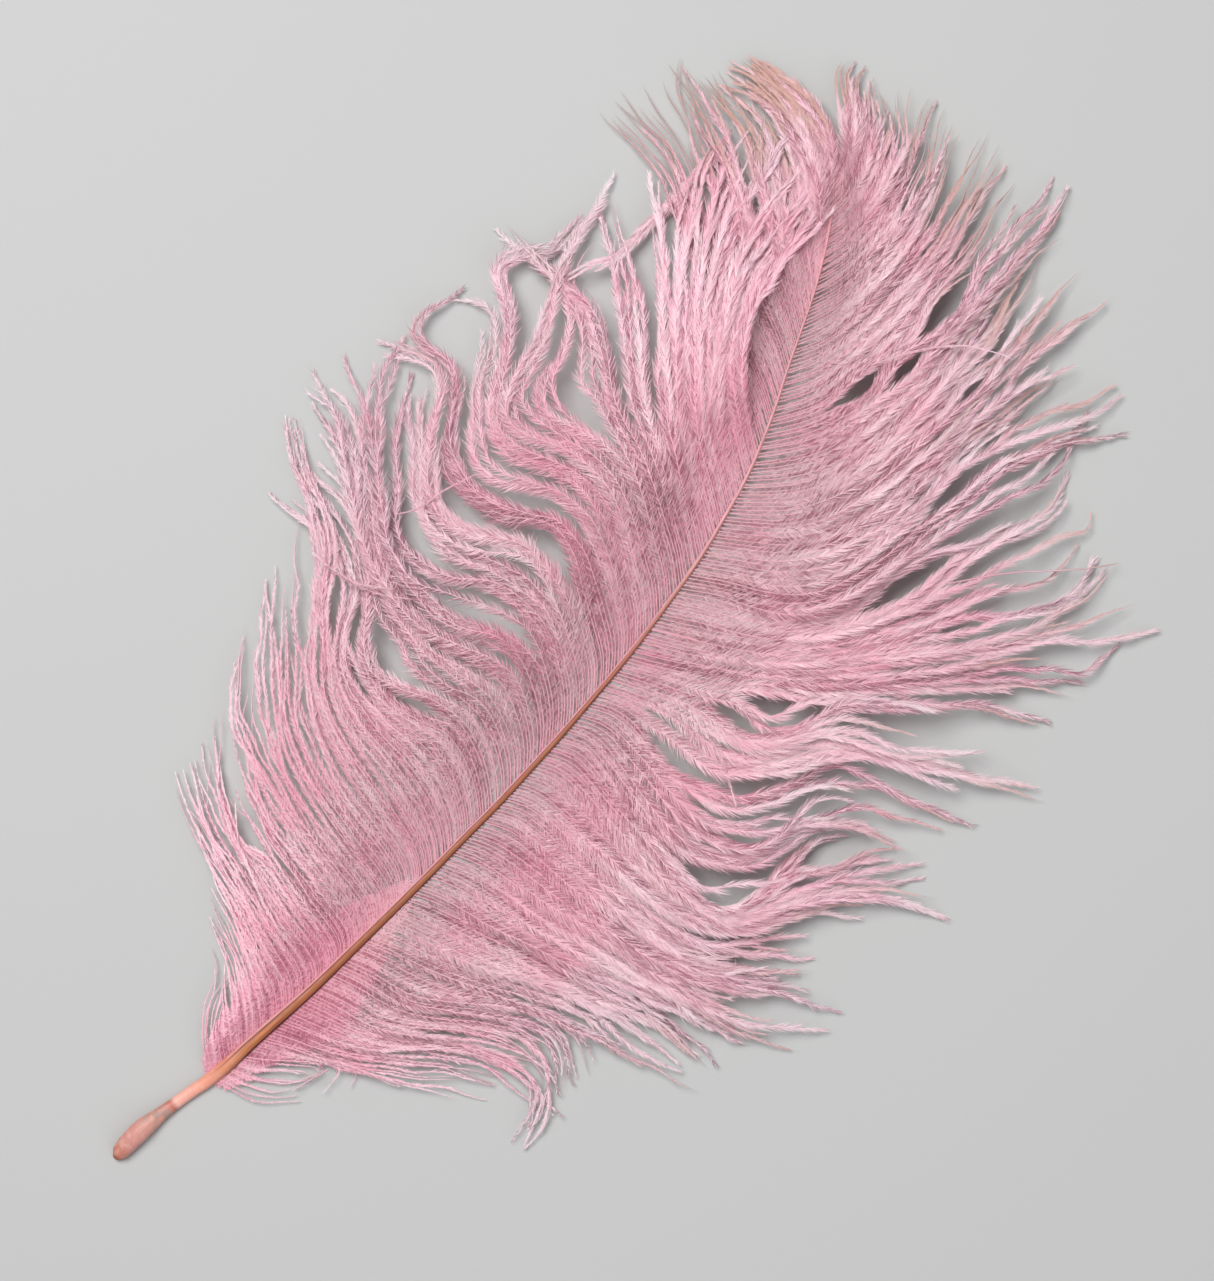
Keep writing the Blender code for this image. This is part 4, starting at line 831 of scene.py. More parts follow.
def felt(barb, row, rows, side):
    """The matted down beside a barb, as far out as its felt reaches, shorter toward the edge."""
    start, end = barb["start"], min(barb["start"] + barb["felt"], barb["end"] - 3)
    distance = np.arange(start, max(end, start + 0.1), FELT_PITCH * max(1, 6 / barb["felt"]))
    count = len(distance)
    fades = 1 - ease(0.6, 1, (distance - start) / max(end - start, 0.1))
    lean = FELT_LEAN + dice.normal(0, 12, count)
    size = dice.uniform(0.7, 1.15, count) * (0.35 + 0.65 * fades)
    roll = dice.uniform(-0.2, 0.1, count)
    twist = dice.uniform(-0.25, 0.25, count)
    width = np.full(count, FELT_WIDTH * BARBULE_WIDTH)
    return ribbons(barb, row, rows, side, distance, lean, size, roll, twist, width)


print("felt every", FELT_PITCH, "mm, where the vane is matted")

# %% [markdown]
# ## What the points carry
# On the map each barb has a row of its own and runs from 0 at the root to 1 at the tip. Every point also
# carries how deep its barb took the dye, how worn its end is, and a number that the material paints into
# its colour as light or shade: painted shade where it is low and a painted highlight where it is high.
# That number is the same for the five points of a ribbon, and partly the same for all the ribbons of a
# barb.

# %% What the points carry
def painted_light_marks(barb, kind, count):
    """The painted light or shade of each point in one part of a barb.

    A rod is even. A barbule has not quite half of its number from its barb and the rest of its own, and a
    painted sheen makes it lighter where the fringe is sleek and dyed. Felt varies less, and its painted
    shade is darker where it reaches far.
    """
    if kind == "rod":
        return np.full(count, 0.6)
    own = 0.45 * barb["painted_light"] + 0.55 * np.tile(dice.random(count // RIBBON_POINTS), RIBBON_POINTS)
    # painted sheen: sleek, dyed fringe is made lighter
    own = own + 0.13 * barb["sleek"] * barb["dye"]
    if kind == "felt":
        # painted shade: felt is darker, the more so where it reaches far
        own = 0.1 + 0.45 * own + 0.3 * (1 - min(1, barb["felt"] / 8))
    return own


def dye_mark(barb, kind):
    """How deep the dye is in one part of a barb, from 0 to 1."""
    deeper = {"rod": 0.3, "fringe": 0.0, "felt": min(0.25, 0.04 * barb["felt"])}
    return min(1, barb["dye"] + deeper[kind])


def barb_parts(barb, row, rows):
    """The rod and the fringe of a barb, and its felt where the vane is matted, each with its kind."""
    made = [("rod", rod(barb, row, rows))]
    made += [("fringe", fringe(barb, row, rows, side)) for side in (-1, 1)]
    if barb["felt"] > 0.5:
        made += [("felt", felt(barb, row, rows, side)) for side in (-1, 1)]
    return made


print("dye of a rod at half dye:", dye_mark({"dye": 0.5, "felt": 0}, "rod"))

# %% [markdown]
# ## Joining them into pieces
# One object for each barb would be slow to draw and to store, so the barbs of a region are one mesh. The
# arrays go into it whole, which takes a moment where adding point by point would take minutes.

# %% Joining them into pieces
def build_mesh(name, points, faces, places, marks):
    """A mesh of triangles with its map and with the values that its points carry."""
    mesh = bpy.data.meshes.new(name)
    mesh.vertices.add(len(points))
    mesh.vertices.foreach_set("co", points.ravel())
    mesh.loops.add(faces.size)
    mesh.loops.foreach_set("vertex_index", faces.ravel())
    mesh.polygons.add(len(faces))
    mesh.polygons.foreach_set("loop_start", np.arange(0, faces.size, 3))
    mesh.update(calc_edges=True)
    mesh.uv_layers.new(name="OFBake").uv.foreach_set("vector", places[faces.ravel()].ravel())
    for word, values in marks.items():
        mesh.attributes.new(word, "FLOAT", "POINT").data.foreach_set("value", values)
    mesh.shade_smooth()
    return mesh


def put_in_scene(name, data):
    """An object with this mesh, camera or light."""
    thing = bpy.data.objects.new(name, data)
    bpy.context.scene.collection.objects.link(thing)
    return thing


def grow_piece(name, barbs):
    """One mesh object from a list of barbs."""
    points, faces, places, marks = [], [], [], {"painted_light": [], "dye": [], "worn": []}
    total = 0
    for row, barb in enumerate(barbs):
        for kind, (new_points, new_faces, new_places) in barb_parts(barb, row, len(barbs)):
            count = len(new_points)
            points.append(new_points)
            faces.append(new_faces + total)
            places.append(new_places)
            marks["painted_light"].append(painted_light_marks(barb, kind, count))
            marks["dye"].append(np.full(count, dye_mark(barb, kind)))
            marks["worn"].append(np.full(count, barb["worn"]))
            total += count
    marks = {word: np.concatenate(values) for word, values in marks.items()}
    mesh = build_mesh(name, np.vstack(points) * MM, np.vstack(faces), np.vstack(places), marks)
    piece = put_in_scene(name, mesh)
    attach(piece, "root")
    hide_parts("feather")
    print(name, len(barbs), "barbs", len(mesh.polygons), "triangles")
    return piece


print("each point will carry three values: strand, dye and worn")

# %% [markdown]
# ## Traits of the left vane
# A plume isn't the same all along: matted and flat at the quill, hung in locks in the middle, sleek and
# curled at the tip. So every trait is a short list of places along the shaft with its value there. They
# tell how high the barbs arch and where their ends rest, how crowded they are and how firmly they gather
# into locks, how long the bare end is, how deep the dye and how worn the end, how sleek the fringe lies
# and from where on, how long it is at the root (inner) and further out (outer), and how far the felt
# reaches. Near the tip the left vane folds over its own upper part, so an under layer is grown there as
# well.

# %% Traits of the left vane
left = {
    "arch": [(-4, 2.5), (38, 4.5), (60, 6.5), (95, 7.5), (106, 7), (114, 5.4), (130, 4.4)],
    "rest": [(-4, 0.7), (108, 0.7), (113, 2.5), (120, 3.2), (130, 3.4)],
    "crowd": [(-4, 1.6), (50, 1.6), (60, 1.1), (108, 1.05), (114, 1.4), (130, 1.5)],
    "gather": [(-4, 0.1), (50, 0.15), (60, 0.65), (75, 0.85), (106, 0.9), (113, 0.35), (130, 0.25)],
    "bare": [(-4, 3), (30, 3), (60, 1.5), (95, 2), (112, 5), (116, 4), (130, 4)],
    "dye": [(-4, 1), (12, 0.85), (30, 0.6), (60, 0.4), (90, 0.35), (108, 0.6), (113, 0.9)],
    "worn": [(-4, 0.15), (60, 0.1), (120, 0)],
    "sleek": [(-4, 1), (15, 0.7), (35, 0.25), (62, 0.1), (105, 0.2), (112, 0.8), (130, 1)],
    "sleek_from": [(-4, 0), (25, 1), (45, 8)],
    "inner": [(-4, 0.2), (1, 0.3), (8, 0.55), (20, 0.75), (60, 0.95)],
    "outer": [
        (-4, 0.15), (1, 0.25), (12, 0.4), (46, 0.55), (60, 0.95), (70, 1.15), (108, 1.15), (114, 1.3)],
    "felt": [(-4, 3), (0, 8), (12, 11), (22, 9), (34, 4), (44, 0)],
}
under = {
    "arch": [(130, 2.5)],
    "rest": [(130, 0.7)],
    "crowd": [(130, 1.2), (150, 1.5), (174, 2)],
    "gather": [(130, 0.35), (160, 0.25)],
    "bare": [(130, 12), (142, 11), (150, 6), (160, 4)],
    "dye": [(130, 0.55), (160, 0.3)],
    "worn": [(130, 0.5), (150, 0.85), (160, 1.15), (174, 1.3)],
    "sleek": [(130, 0.3), (155, 0.7), (165, 1)],
    "sleek_from": [(130, 8), (174, 2)],
    "inner": [(130, 0.6), (160, 0.8)],
    "outer": [(130, 0.7), (150, 0.9), (168, 1)],
    "felt": [(130, 0)],
}
print("the left vane arches", value_at(95, left["arch"]), "mm high in its middle")

# %% [markdown]
# ## Traits of the right vane
# The right vane arches higher and is sleeker than the left one. Its fringe is longest in the middle, and
# toward the tip its barbs end bare and worn to tan.

# %% Traits of the right vane
right = {
    "arch": [(-4, 1.5), (20, 3), (50, 6), (85, 8.5), (120, 8), (174, 6)],
    "rest": [(-4, 0.7)],
    "crowd": [(-4, 1.25), (60, 1.25), (155, 1.2), (162, 1.6), (174, 2.6)],
    "gather": [(-4, 0.35), (30, 0.4), (60, 0.55), (90, 0.45), (130, 0.35), (158, 0.35), (163, 0.1)],
    "bare": [
        (-4, 2), (20, 4), (40, 2), (60, 2.5), (110, 2.5), (125, 4), (136, 6.5), (160, 6.5), (174, 3)],
    "dye": [
        (-4, 0.6), (14, 0.45), (30, 0.3), (52, 0.4), (80, 0.4), (120, 0.3), (136, 0.5), (155, 0.25)],
    "worn": [
        (-4, 0.2), (60, 0.3), (90, 0.35), (120, 0.45), (140, 0.6), (150, 0.75), (160, 0.65), (174, 0.85)],
    "sleek": [(-4, 0.9), (12, 0.7), (30, 0.5), (60, 0.9), (120, 1), (160, 0.9), (167, 1)],
    "sleek_from": [(-4, 0), (12, 1), (30, 12), (60, 16), (120, 12), (130, 2)],
    "inner": [
        (-4, 0.25), (6, 0.5), (16, 0.8), (34, 0.95), (112, 0.95), (130, 0.6), (158, 0.6), (166, 0.9)],
    "outer": [
        (-4, 0.2), (6, 0.4), (20, 0.6), (34, 0.95), (56, 1.4), (118, 1.4), (136, 1), (160, 0.85), (168, 1)],
    "felt": [(-4, 2), (2, 6), (12, 9), (22, 7), (32, 3), (42, 0)],
}
print("the right vane arches", value_at(85, right["arch"]), "mm high in its middle")

# %% [markdown]
# ## Growing both vanes
# Each vane is cut into regions along the shaft, so that no mesh gets too large to handle. The order of
# these lines matters, because one generator makes every random choice in turn.

# %% Growing both vanes
vanes = {
    "barbs_left_lower": lay_barbs(LEFT_LOWER, LEFT_SLITS, -3.4, 42, left),
    "barbs_left_middle": lay_barbs(LEFT_LOWER, LEFT_SLITS, 42, 79, left),
    "barbs_left_upper": lay_barbs(LEFT_UPPER, LEFT_SLITS, 79, 130, left),
    "barbs_left_under": lay_barbs(LEFT_UNDER, [], 130, 173.5, under),
    "barbs_right_lower": lay_barbs(RIGHT_LOWER, RIGHT_SLITS, -3.2, 58, right),
    "barbs_right_middle": lay_barbs(RIGHT_MIDDLE, RIGHT_SLITS, 58, 97, right),
    "barbs_right_upper": lay_barbs(RIGHT_UPPER, RIGHT_SLITS, 97, 173.5, right),
}
pieces = [grow_piece(name, barbs) for name, barbs in vanes.items()]
print(sum(len(barbs) for barbs in vanes.values()), "barbs in all")

# %% [markdown]
# ## Strays
# A few barbs have left their lock and lie across the others, and they make the plume look used. Each row
# gives the points that one passes, its height above the surface at its two ends, how long its fringe is
# and how worn it is.

# %% Strays
STRAYS = [
    ([(50, 130), (57, 137), (62, 141), (67, 145), (71.3, 149.2)], 6.5, 2, 0.15, 1),
    ([(20, 151), (24, 156.5), (30, 162), (36, 164.5), (38, 165)], 10.5, 8.5, 0.3, 0.2),
    ([(26.8, 143.5), (28, 149), (28, 156)], 9.5, 8, 0.3, 0.1),
    ([(29.5, 165), (30, 182), (30.3, 190), (29.7, 194)], 6, 1, 0.15, 0.5),
    ([(54.5, 65), (58, 60.5), (60, 58.5)], 3, 1.5, 0.2, 0.5),
    ([(53.8, 65), (54, 60), (53.5, 57.5)], 3, 1.5, 0.2, 0.5),
    ([(36, 87), (40, 84), (43, 81.5)], 10, 8.5, 0.5, 0),
    ([(35, 92), (37, 90.5), (39.5, 88.7)], 10, 9.5, 0.4, 0),
    ([(35, 95), (37.5, 94.4), (40, 93.5)], 10, 9.5, 0.4, 0),
    ([(-20, 170), (-21, 158), (-22.5, 150), (-23.5, 143), (-26, 139.5), (-28.5, 134.5)], 2, 3.5, 0.8, 0),
    ([(-19.6, 169), (-20.6, 158), (-22.1, 150), (-23.1, 143), (-25.5, 139.2), (-27.8, 134)],
     2, 3.5, 0.9, 0),
    ([(-19.2, 167), (-20.2, 157), (-21.6, 149.5), (-22.6, 143), (-24.8, 138.5)], 2, 3, 0.8, 0),
    ([(-17, 79.5), (-24, 76.2), (-33, 75.4)], 8.5, 6, 0.55, 0),
    ([(-21.5, 78.4), (-28, 75.6), (-36, 75.8)], 8.5, 5, 0.55, 0),
    ([(-28, 88.5), (-25.5, 91.5), (-24, 96), (-21, 101.5)], 7, 8, 0.3, 0),
    ([(14, 9.5), (12.5, 6), (11, 2.5)], 3, 1, 0.2, 0.2),
]
STRAY_RADIUS = 0.16     # mm
STRAY_WAVE = 0.5        # how far a stray bends up and down on its way, mm


def lay_stray(points, low, high, fringe_share, worn):
    """One loose barb as the same kind of dict as those of the vane."""
    flat = smooth_route(points)
    bends = STRAY_WAVE * np.sin(np.linspace(0, 9, len(flat)))
    path = np.column_stack([flat, np.linspace(low, high, len(flat)) + bends])
    return {
        "path": path, "start": 0.0, "end": path_length(path), "radius": STRAY_RADIUS,
        "painted_light": dice.random(), "bare": HARDLY_BARE if worn < 0.4 else 3.0, "worn": worn,
        "dye": 0.2, "sleek": 1.0, "sleek_from": 0, "inner": fringe_share, "outer": fringe_share, "felt": 0,
    }


pieces.append(grow_piece("strays", [lay_stray(*row) for row in STRAYS]))

# %% [markdown]
# ## The shaft and quill
# The quill is a hollow tube that swells where it sat in the skin, and it runs on as the shaft, which
# thins all the way to a hair. A ring is drawn out into a tube of many rings, and then each of them is
# turned, sized and moved to its place. Each point is marked with its side, from -1 to 1, and its place
# along Y in mm, for the material.

# %% The shaft and quill
SHAFT_SIDES = 20
SHAFT_RINGS = 140
FLOOR_GAP = 0.00002     # no point of the shaft comes nearer to the surface than this, m


def draw_out_rings(bm, count):
    """A tube of rings that all still lie in one place."""
    ring = bmesh.ops.create_circle(bm, segments=SHAFT_SIDES, radius=1.0)["verts"]
    for vert in ring:
        vert.co = Vector((vert.co.x, 0.0, vert.co.y))
    edges = list(bm.edges)
    rings = [list(ring)]
    for _ in range(count - 1):
        drawn = bmesh.ops.extrude_edge_only(bm, edges=edges)["geom"]
        edges = [item for item in drawn if isinstance(item, bmesh.types.BMEdge)]
        rings.append([item for item in drawn if isinstance(item, bmesh.types.BMVert)])
    return rings


def place_ring(verts, station, heading, side_mark, place_mark):
    """One ring, turned, sized and moved to its station."""
    x, y, half, height = station
    level = Vector((heading[1], -heading[0], 0.0)).normalized()
    up = level.cross(Vector(heading)).normalized()
    for vert in verts:
        across, tall = vert.co.x * half, vert.co.z * half * SHAFT_FLATNESS
        vert[side_mark], vert[place_mark] = vert.co.x, y
        vert.co = (Vector((x, y, height)) + level * across + up * tall) * MM


def shaft_mesh(name):
    """The closed tube from the quill to the tip."""
    stations = smooth_route([(x, y, half, shaft_height(y)) for x, y, half in SHAFT], SHAFT_RINGS)
    headings = unit(np.gradient(stations[:, [0, 1, 3]], axis=0))
    bm = bmesh.new()
    side_mark, place_mark = bm.verts.layers.float.new("side"), bm.verts.layers.float.new("place")
    rings = draw_out_rings(bm, SHAFT_RINGS)
    for verts, station, heading in zip(rings, stations, headings):
        place_ring(verts, station, heading, side_mark, place_mark)
    for verts in (rings[0], rings[-1]):
        bmesh.ops.contextual_create(bm, geom=verts)
    for vert in bm.verts:
        vert.co.z = max(vert.co.z, FLOOR_GAP)
    bmesh.ops.recalc_face_normals(bm, faces=bm.faces)
    mesh = bpy.data.meshes.new(name)
    bm.to_mesh(mesh)
    bm.free()
    mesh.shade_smooth()
    return mesh


def draw_out_shaft(name):
    """The shaft with the quill as one piece."""
    piece = put_in_scene(name, shaft_mesh(name))
    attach(piece, "root")
    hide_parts("feather")
    return piece


shaft = draw_out_shaft("shaft")
print("shaft:", len(shaft.data.polygons), "faces")

# %% [markdown]
# ## Wiring materials in short lines
# A material is a graph of small nodes. Built in the editor it is dragged together by hand; in a script
# each node takes several lines, so the usual steps get a helper each: a colour from its hex code, a mix,
# a ramp, a product, and a value that the mesh carries. The materials below then read almost like a
# recipe.

# %% Helpers for the materials
BLACK, WHITE = "000000", "ffffff"
MIX_FACTOR, MIX_FIRST, MIX_SECOND = 0, 6, 7    # the inputs of a Mix node that count for colours
MIX_RESULT = 2          # and its output


def paint(code):
    """A colour from its hex code, as the linear values that nodes take."""
    parts = [int(code[i:i + 2], 16) / 255 for i in (0, 2, 4)]
    return tuple(p / 12.92 if p < 0.04045 else ((p + 0.055) / 1.055) ** 2.4 for p in parts) + (1.0,)


def plug(tree, value, socket):
    """Put a value or the colour of a hex code on a socket, or a wire from another socket."""
    if isinstance(value, bpy.types.NodeSocket):
        tree.links.new(value, socket)
    else:
        socket.default_value = paint(value) if isinstance(value, str) else value


def add_node(tree, kind, *values, **settings):
    """A new node, with values or wires for its inputs in their order."""
    node = tree.nodes.new(kind)
    for key, value in settings.items():
        setattr(node, key, value)
    for value, socket in zip(values, node.inputs):
        plug(tree, value, socket)
    return node


def mix(tree, factor, first, second, blend="MIX"):
    """A mix of two colours, each given as a hex code or as a socket."""
    node = add_node(tree, "ShaderNodeMix", data_type="RGBA", blend_type=blend)
    plug(tree, factor, node.inputs[MIX_FACTOR])
    plug(tree, first, node.inputs[MIX_FIRST])
    plug(tree, second, node.inputs[MIX_SECOND])
    return node.outputs[MIX_RESULT]


def times(tree, first, second, plus=0.0):
    """Two values multiplied, and a third added."""
    return add_node(tree, "ShaderNodeMath", first, second, plus, operation="MULTIPLY_ADD").outputs[0]


def spread_over(tree, source, low, high, to_low=0.0, to_high=1.0):
    """The source moved from one range to another, and held at its ends."""
    return add_node(tree, "ShaderNodeMapRange", source, low, high, to_low, to_high).outputs[0]


def ramp(tree, source, stops):
    """Colours at places between 0 and 1, with even changes between them."""
    node = add_node(tree, "ShaderNodeValToRGB", source)
    stop = node.color_ramp.elements
    stop[0].position, stop[0].color = stops[0][0], paint(stops[0][1])
    stop[1].position, stop[1].color = stops[-1][0], paint(stops[-1][1])
    for place, code in stops[1:-1]:
        stop.new(place).color = paint(code)
    return node.outputs[0]


def attribute(tree, name):
    """A value that the mesh carries at its points."""
    return add_node(tree, "ShaderNodeAttribute", attribute_name=name).outputs["Fac"]


def new_material(name):
    """A new material, its node tree and its shader."""
    material = bpy.data.materials.new(name)
    material.use_nodes = True
    return material, material.node_tree, material.node_tree.nodes["Principled BSDF"]


print("brown of the shaft as linear light:", [round(value, 3) for value in paint("b06438")[:3]])

# %% [markdown]
# ## Blotches, for both materials
# Dye takes unevenly on down, and skin leaves bruises on the quill. Both are soft blotches, only of
# another size, so they are one shader group with the size and the two ends of its fade as inputs. It
# works in the piece's own space, so the blotches run on from one piece of the vane to the next.

# %% A group for blotches
def blotch_group():
    """Soft blotches as a mask from 0 to 1."""
    group = bpy.data.node_groups.new("blotches", "ShaderNodeTree")
    for name in ("Scale", "Fade From", "Fade To"):
        group.interface.new_socket(name, in_out="INPUT", socket_type="NodeSocketFloat")
    group.interface.new_socket("Mask", in_out="OUTPUT", socket_type="NodeSocketFloat")
    given, result = add_node(group, "NodeGroupInput"), add_node(group, "NodeGroupOutput")
    where = add_node(group, "ShaderNodeTexCoord").outputs["Object"]
    noise = add_node(group, "ShaderNodeTexNoise", where)
    noise.inputs["Detail"].default_value = 4.0
    plug(group, given.outputs["Scale"], noise.inputs["Scale"])
    mask = spread_over(group, noise.outputs[0], given.outputs["Fade From"], given.outputs["Fade To"])
    plug(group, mask, result.inputs["Mask"])
    return group


BLOTCHES = blotch_group()


def blotches(tree, *values):
    """The group with its scale and the two ends of its fade."""
    return add_node(tree, "ShaderNodeGroup", *values, node_tree=BLOTCHES).outputs["Mask"]


print("inputs of the group:", [socket.name for socket in BLOTCHES.interface.items_tree])

# %% [markdown]
# ## Dyed barbs
# The dye is deep at the quill and weak further out, where the down was tipped with grey or worn to tan.
# The map runs along each barb from 0 to 1, so one ramp gives what changes from root to tip, and the
# values that the points carry give what changes from barb to barb: a quarter of the barbules get painted
# shade, darkened as if they lay in shadow below the others, and some get a painted highlight.

# %% Dyed barbs
WEAK_DYE = [(0, "d09699"), (0.2, "d3a7ad"), (0.5, "e0b1bc"), (0.75, "dcb5c1"), (0.95, "d6c3ca")]
DEEP_DYE = [(0, "d87691"), (0.3, "f2a2ba"), (0.75, "fabed2"), (1, "ecd0da")]
PAINTED_SHADE = [(0.06, "8c6a74"), (0.25, "c6acb4"), (0.48, WHITE)]
PAINTED_HIGHLIGHT = "ffecee"
BLOTCH_PINK = "f098b0"
WORN_TAN = "cea397"
PATCHES = (60.0, 0.45, 0.7)     # of pink: their scale for each m, and the two ends of their fade


def dyed_barbs():
    """Pink dye over white down: deeper near the quill, paler outward, with worn tan ends."""
    material, tree, shader = new_material("dyed_barbs")
    on_map = add_node(tree, "ShaderNodeUVMap", uv_map="OFBake").outputs[0]
    along = add_node(tree, "ShaderNodeSeparateXYZ", on_map).outputs[0]
    painted_light, worn = attribute(tree, "painted_light"), attribute(tree, "worn")
    weak, deep = ramp(tree, along, WEAK_DYE), ramp(tree, along, DEEP_DYE)
    colour = mix(tree, attribute(tree, "dye"), weak, deep)
    # painted shade: barbules with a low number are darkened
    colour = mix(tree, 1.0, colour, ramp(tree, painted_light, PAINTED_SHADE), "MULTIPLY")
    # painted highlight: barbules with a high number are lightened toward near white
    colour = mix(tree, spread_over(tree, painted_light, 0.35, 0.85, 0.0, 0.65), colour, PAINTED_HIGHLIGHT)
    colour = mix(tree, times(tree, blotches(tree, *PATCHES), 0.45), colour, BLOTCH_PINK)
    # tan sets in near the tip, and the earlier the more a barb is worn
    tip = spread_over(tree, times(tree, worn, 0.3, along), 0.91, 1.17)
    colour = mix(tree, times(tree, times(tree, tip, worn), 0.8), colour, WORN_TAN)
    plug(tree, colour, shader.inputs["Base Color"])
    plug(tree, spread_over(tree, painted_light, 0.0, 1.0, 0.75, 0.55), shader.inputs["Roughness"])
    shader.inputs["Sheen Weight"].default_value = 0.25
    shader.inputs["Sheen Roughness"].default_value = 0.5
    return material


barb_skin = dyed_barbs()
for piece in pieces:
    piece.data.materials.append(barb_skin)
print(barb_skin.name, "on", len(pieces), "pieces")

# %% [markdown]
# ## Colours along the horn
# The quill is smooth horn: orange-brown where it was cut, mauve and bruised at the bulb, salmon at the
# neck. Along the shaft a brown stripe runs between two dark red lines, the right one deepened by painted
# shadow, with pale pink flanks beside them, and all of it fades to pink toward the tip. Each row gives a
# place along Y in mm and the colour there.

# %% Colours along the horn
SKIN = [
    (shaft_foot, "c8602f"), (-21.2, "c87e6a"), (-18, "d08f86"), (-12.5, "d2917f"), (-10.8, "c98070"),
    (-10, "b8604c"), (-9.3, "f2b0a0"), (-5, "f2a088"), (0.5, "e09070"), (5, "e0a0a0"), (60, "e0a0ac"),
    (130, "eaaab4"), (shaft_tip, "eeacb8"),
]
BRUISED = [(-17, BLACK), (-13, WHITE), (-11, WHITE), (-9.5, BLACK)]
STRIPE = [
    (0, "e08c56"), (6, "d4824a"), (13, "b4683a"), (30, "aa6038"), (70, "ac6642"), (90, "ba6e5c"),
    (105, "d8968a"), (120, "eeb0b4"), (shaft_tip, "eeacb8"),
]


def share_of_shaft(y):
    """How far along the shaft a place is, from 0 at the quill's end to 1 at the tip."""
    return (y - shaft_foot) / (shaft_tip - shaft_foot)


def ramp_by_y(tree, place, stops):
    """A ramp along the shaft, from places in mm."""
    return ramp(tree, place, [(share_of_shaft(y), code) for y, code in stops])


print("the barbs start at", round(share_of_shaft(0), 3), "of the shaft")

# %% [markdown]
# ## The shaft's horn
# Two values that the mesh carries draw the horn without a seam or an unwrapped map. The place along Y
# chooses the colours, and the side, from -1 to 1, tells the stripe, which lies a little off the middle,
# from the lines and the flanks. The side also paints shade: the stripe darkens toward the right, and the
# right line is deepened as painted shadow along the shaft's shaded edge. Streaks that are far longer than
# they are wide groove the stripe and raise the surface a little.

# %% The shaft's horn
OFF_MIDDLE = 0.2        # how far the stripe lies to one side, as a share of the shaft's half width
LINE = [(0.5, BLACK), (0.6, WHITE), (0.8, WHITE), (0.9, BLACK)]  # where the dark lines lie beside it
STRIPE_SETS_IN = (-4, 4)        # along Y, mm
LINES_FADE = (80, 122)          # along Y, mm
BRUISES = (900.0, 0.48, 0.62)   # their scale for each m, and the two ends of their fade
STREAKS = (6.0, 0.15)           # about how many across half of the shaft, and along each mm of it


def horn_skin(tree, place, bruise):
    """The colour of quill and flanks, bruised at the bulb."""
    skin = ramp_by_y(tree, place, SKIN)
    skin = mix(tree, times(tree, bruise, ramp_by_y(tree, place, BRUISED)), skin, "8a6a60")
    return mix(tree, times(tree, bruise, 0.25), skin, "f0c8bc")


def long_streaks(tree, side):
    """Noise that is drawn out along the shaft."""
    across = times(tree, side, STREAKS[0])
    along = times(tree, attribute(tree, "place"), STREAKS[1])
    drawn = add_node(tree, "ShaderNodeCombineXYZ", across, along).outputs[0]
    noise = add_node(tree, "ShaderNodeTexNoise", drawn, noise_dimensions="2D")
    noise.inputs["Scale"].default_value = 1.0
    return noise.outputs[0]


def horn_stripe(tree, place, side, streaks):
    """The brown of the stripe, grooved, and darkened toward the right side by painted shade."""
    stripe = ramp_by_y(tree, place, STRIPE)
    stripe = mix(tree, spread_over(tree, streaks, 0.42, 0.6, 0.0, 0.6), stripe, "86421f")
    # painted shade: the stripe darkens toward the right, the side away from the window light
    return mix(tree, spread_over(tree, side, 0.05, 0.6, 0.0, 0.6), stripe, "8c4824")


def horn_colour(tree, place, side, bruise, streaks):
    """Skin, stripe and dark lines together, the right line deepened by painted shadow."""
    from_stripe = times(tree, side, 1.0, -OFF_MIDDLE)
    distance = add_node(tree, "ShaderNodeMath", from_stripe, operation="ABSOLUTE").outputs[0]
    begun = spread_over(tree, place, *map(share_of_shaft, STRIPE_SETS_IN))
    fading = spread_over(tree, place, *map(share_of_shaft, LINES_FADE), 1.0, 0.0)
    inside = times(tree, spread_over(tree, distance, 0.68, 0.6), begun)
    colour = mix(tree, inside, horn_skin(tree, place, bruise), horn_stripe(tree, place, side, streaks))
    # the dark red lines are the horn's own; toward the right the line is deepened almost to black as
    # painted shadow along the shaft's shaded edge
    dark = mix(tree, spread_over(tree, side, -0.3, 0.5), "86402c", "581c12")
    return mix(tree, times(tree, ramp(tree, distance, LINE), times(tree, begun, fading)), colour, dark)


def shaft_horn():
    """Salmon quill with a bruised bulb, then a brown stripe between dark red lines and pale flanks, with
    painted shade on the right.
    """
    material, tree, shader = new_material("shaft_horn")
    side = attribute(tree, "side")
    place = spread_over(tree, attribute(tree, "place"), shaft_foot, shaft_tip)
    bruise = blotches(tree, *BRUISES)
    streaks = long_streaks(tree, side)
    plug(tree, horn_colour(tree, place, side, bruise, streaks), shader.inputs["Base Color"])
    plug(tree, spread_over(tree, bruise, 0.0, 1.0, 0.38, 0.5), shader.inputs["Roughness"])
    bump = add_node(tree, "ShaderNodeBump")
    bump.inputs["Strength"].default_value = 0.35
    bump.inputs["Distance"].default_value = 0.0002
    plug(tree, streaks, bump.inputs["Height"])
    plug(tree, bump.outputs[0], shader.inputs["Normal"])
    return material


shaft.data.materials.append(shaft_horn())
print(shaft.data.materials[0].name, "has", len(shaft.data.materials[0].node_tree.nodes), "nodes")

# %% [markdown]
# ## Table
# The feather lies on a plain pale top, which is not part of it. It lies a hair below the object, so that
# the two never share a plane. A grid of one face is enough for it.

# %% Table
TABLE_HALF = 1.5        # half of a side of the top, m
TABLE_GAP = 0.0002      # how far it lies below the object, m

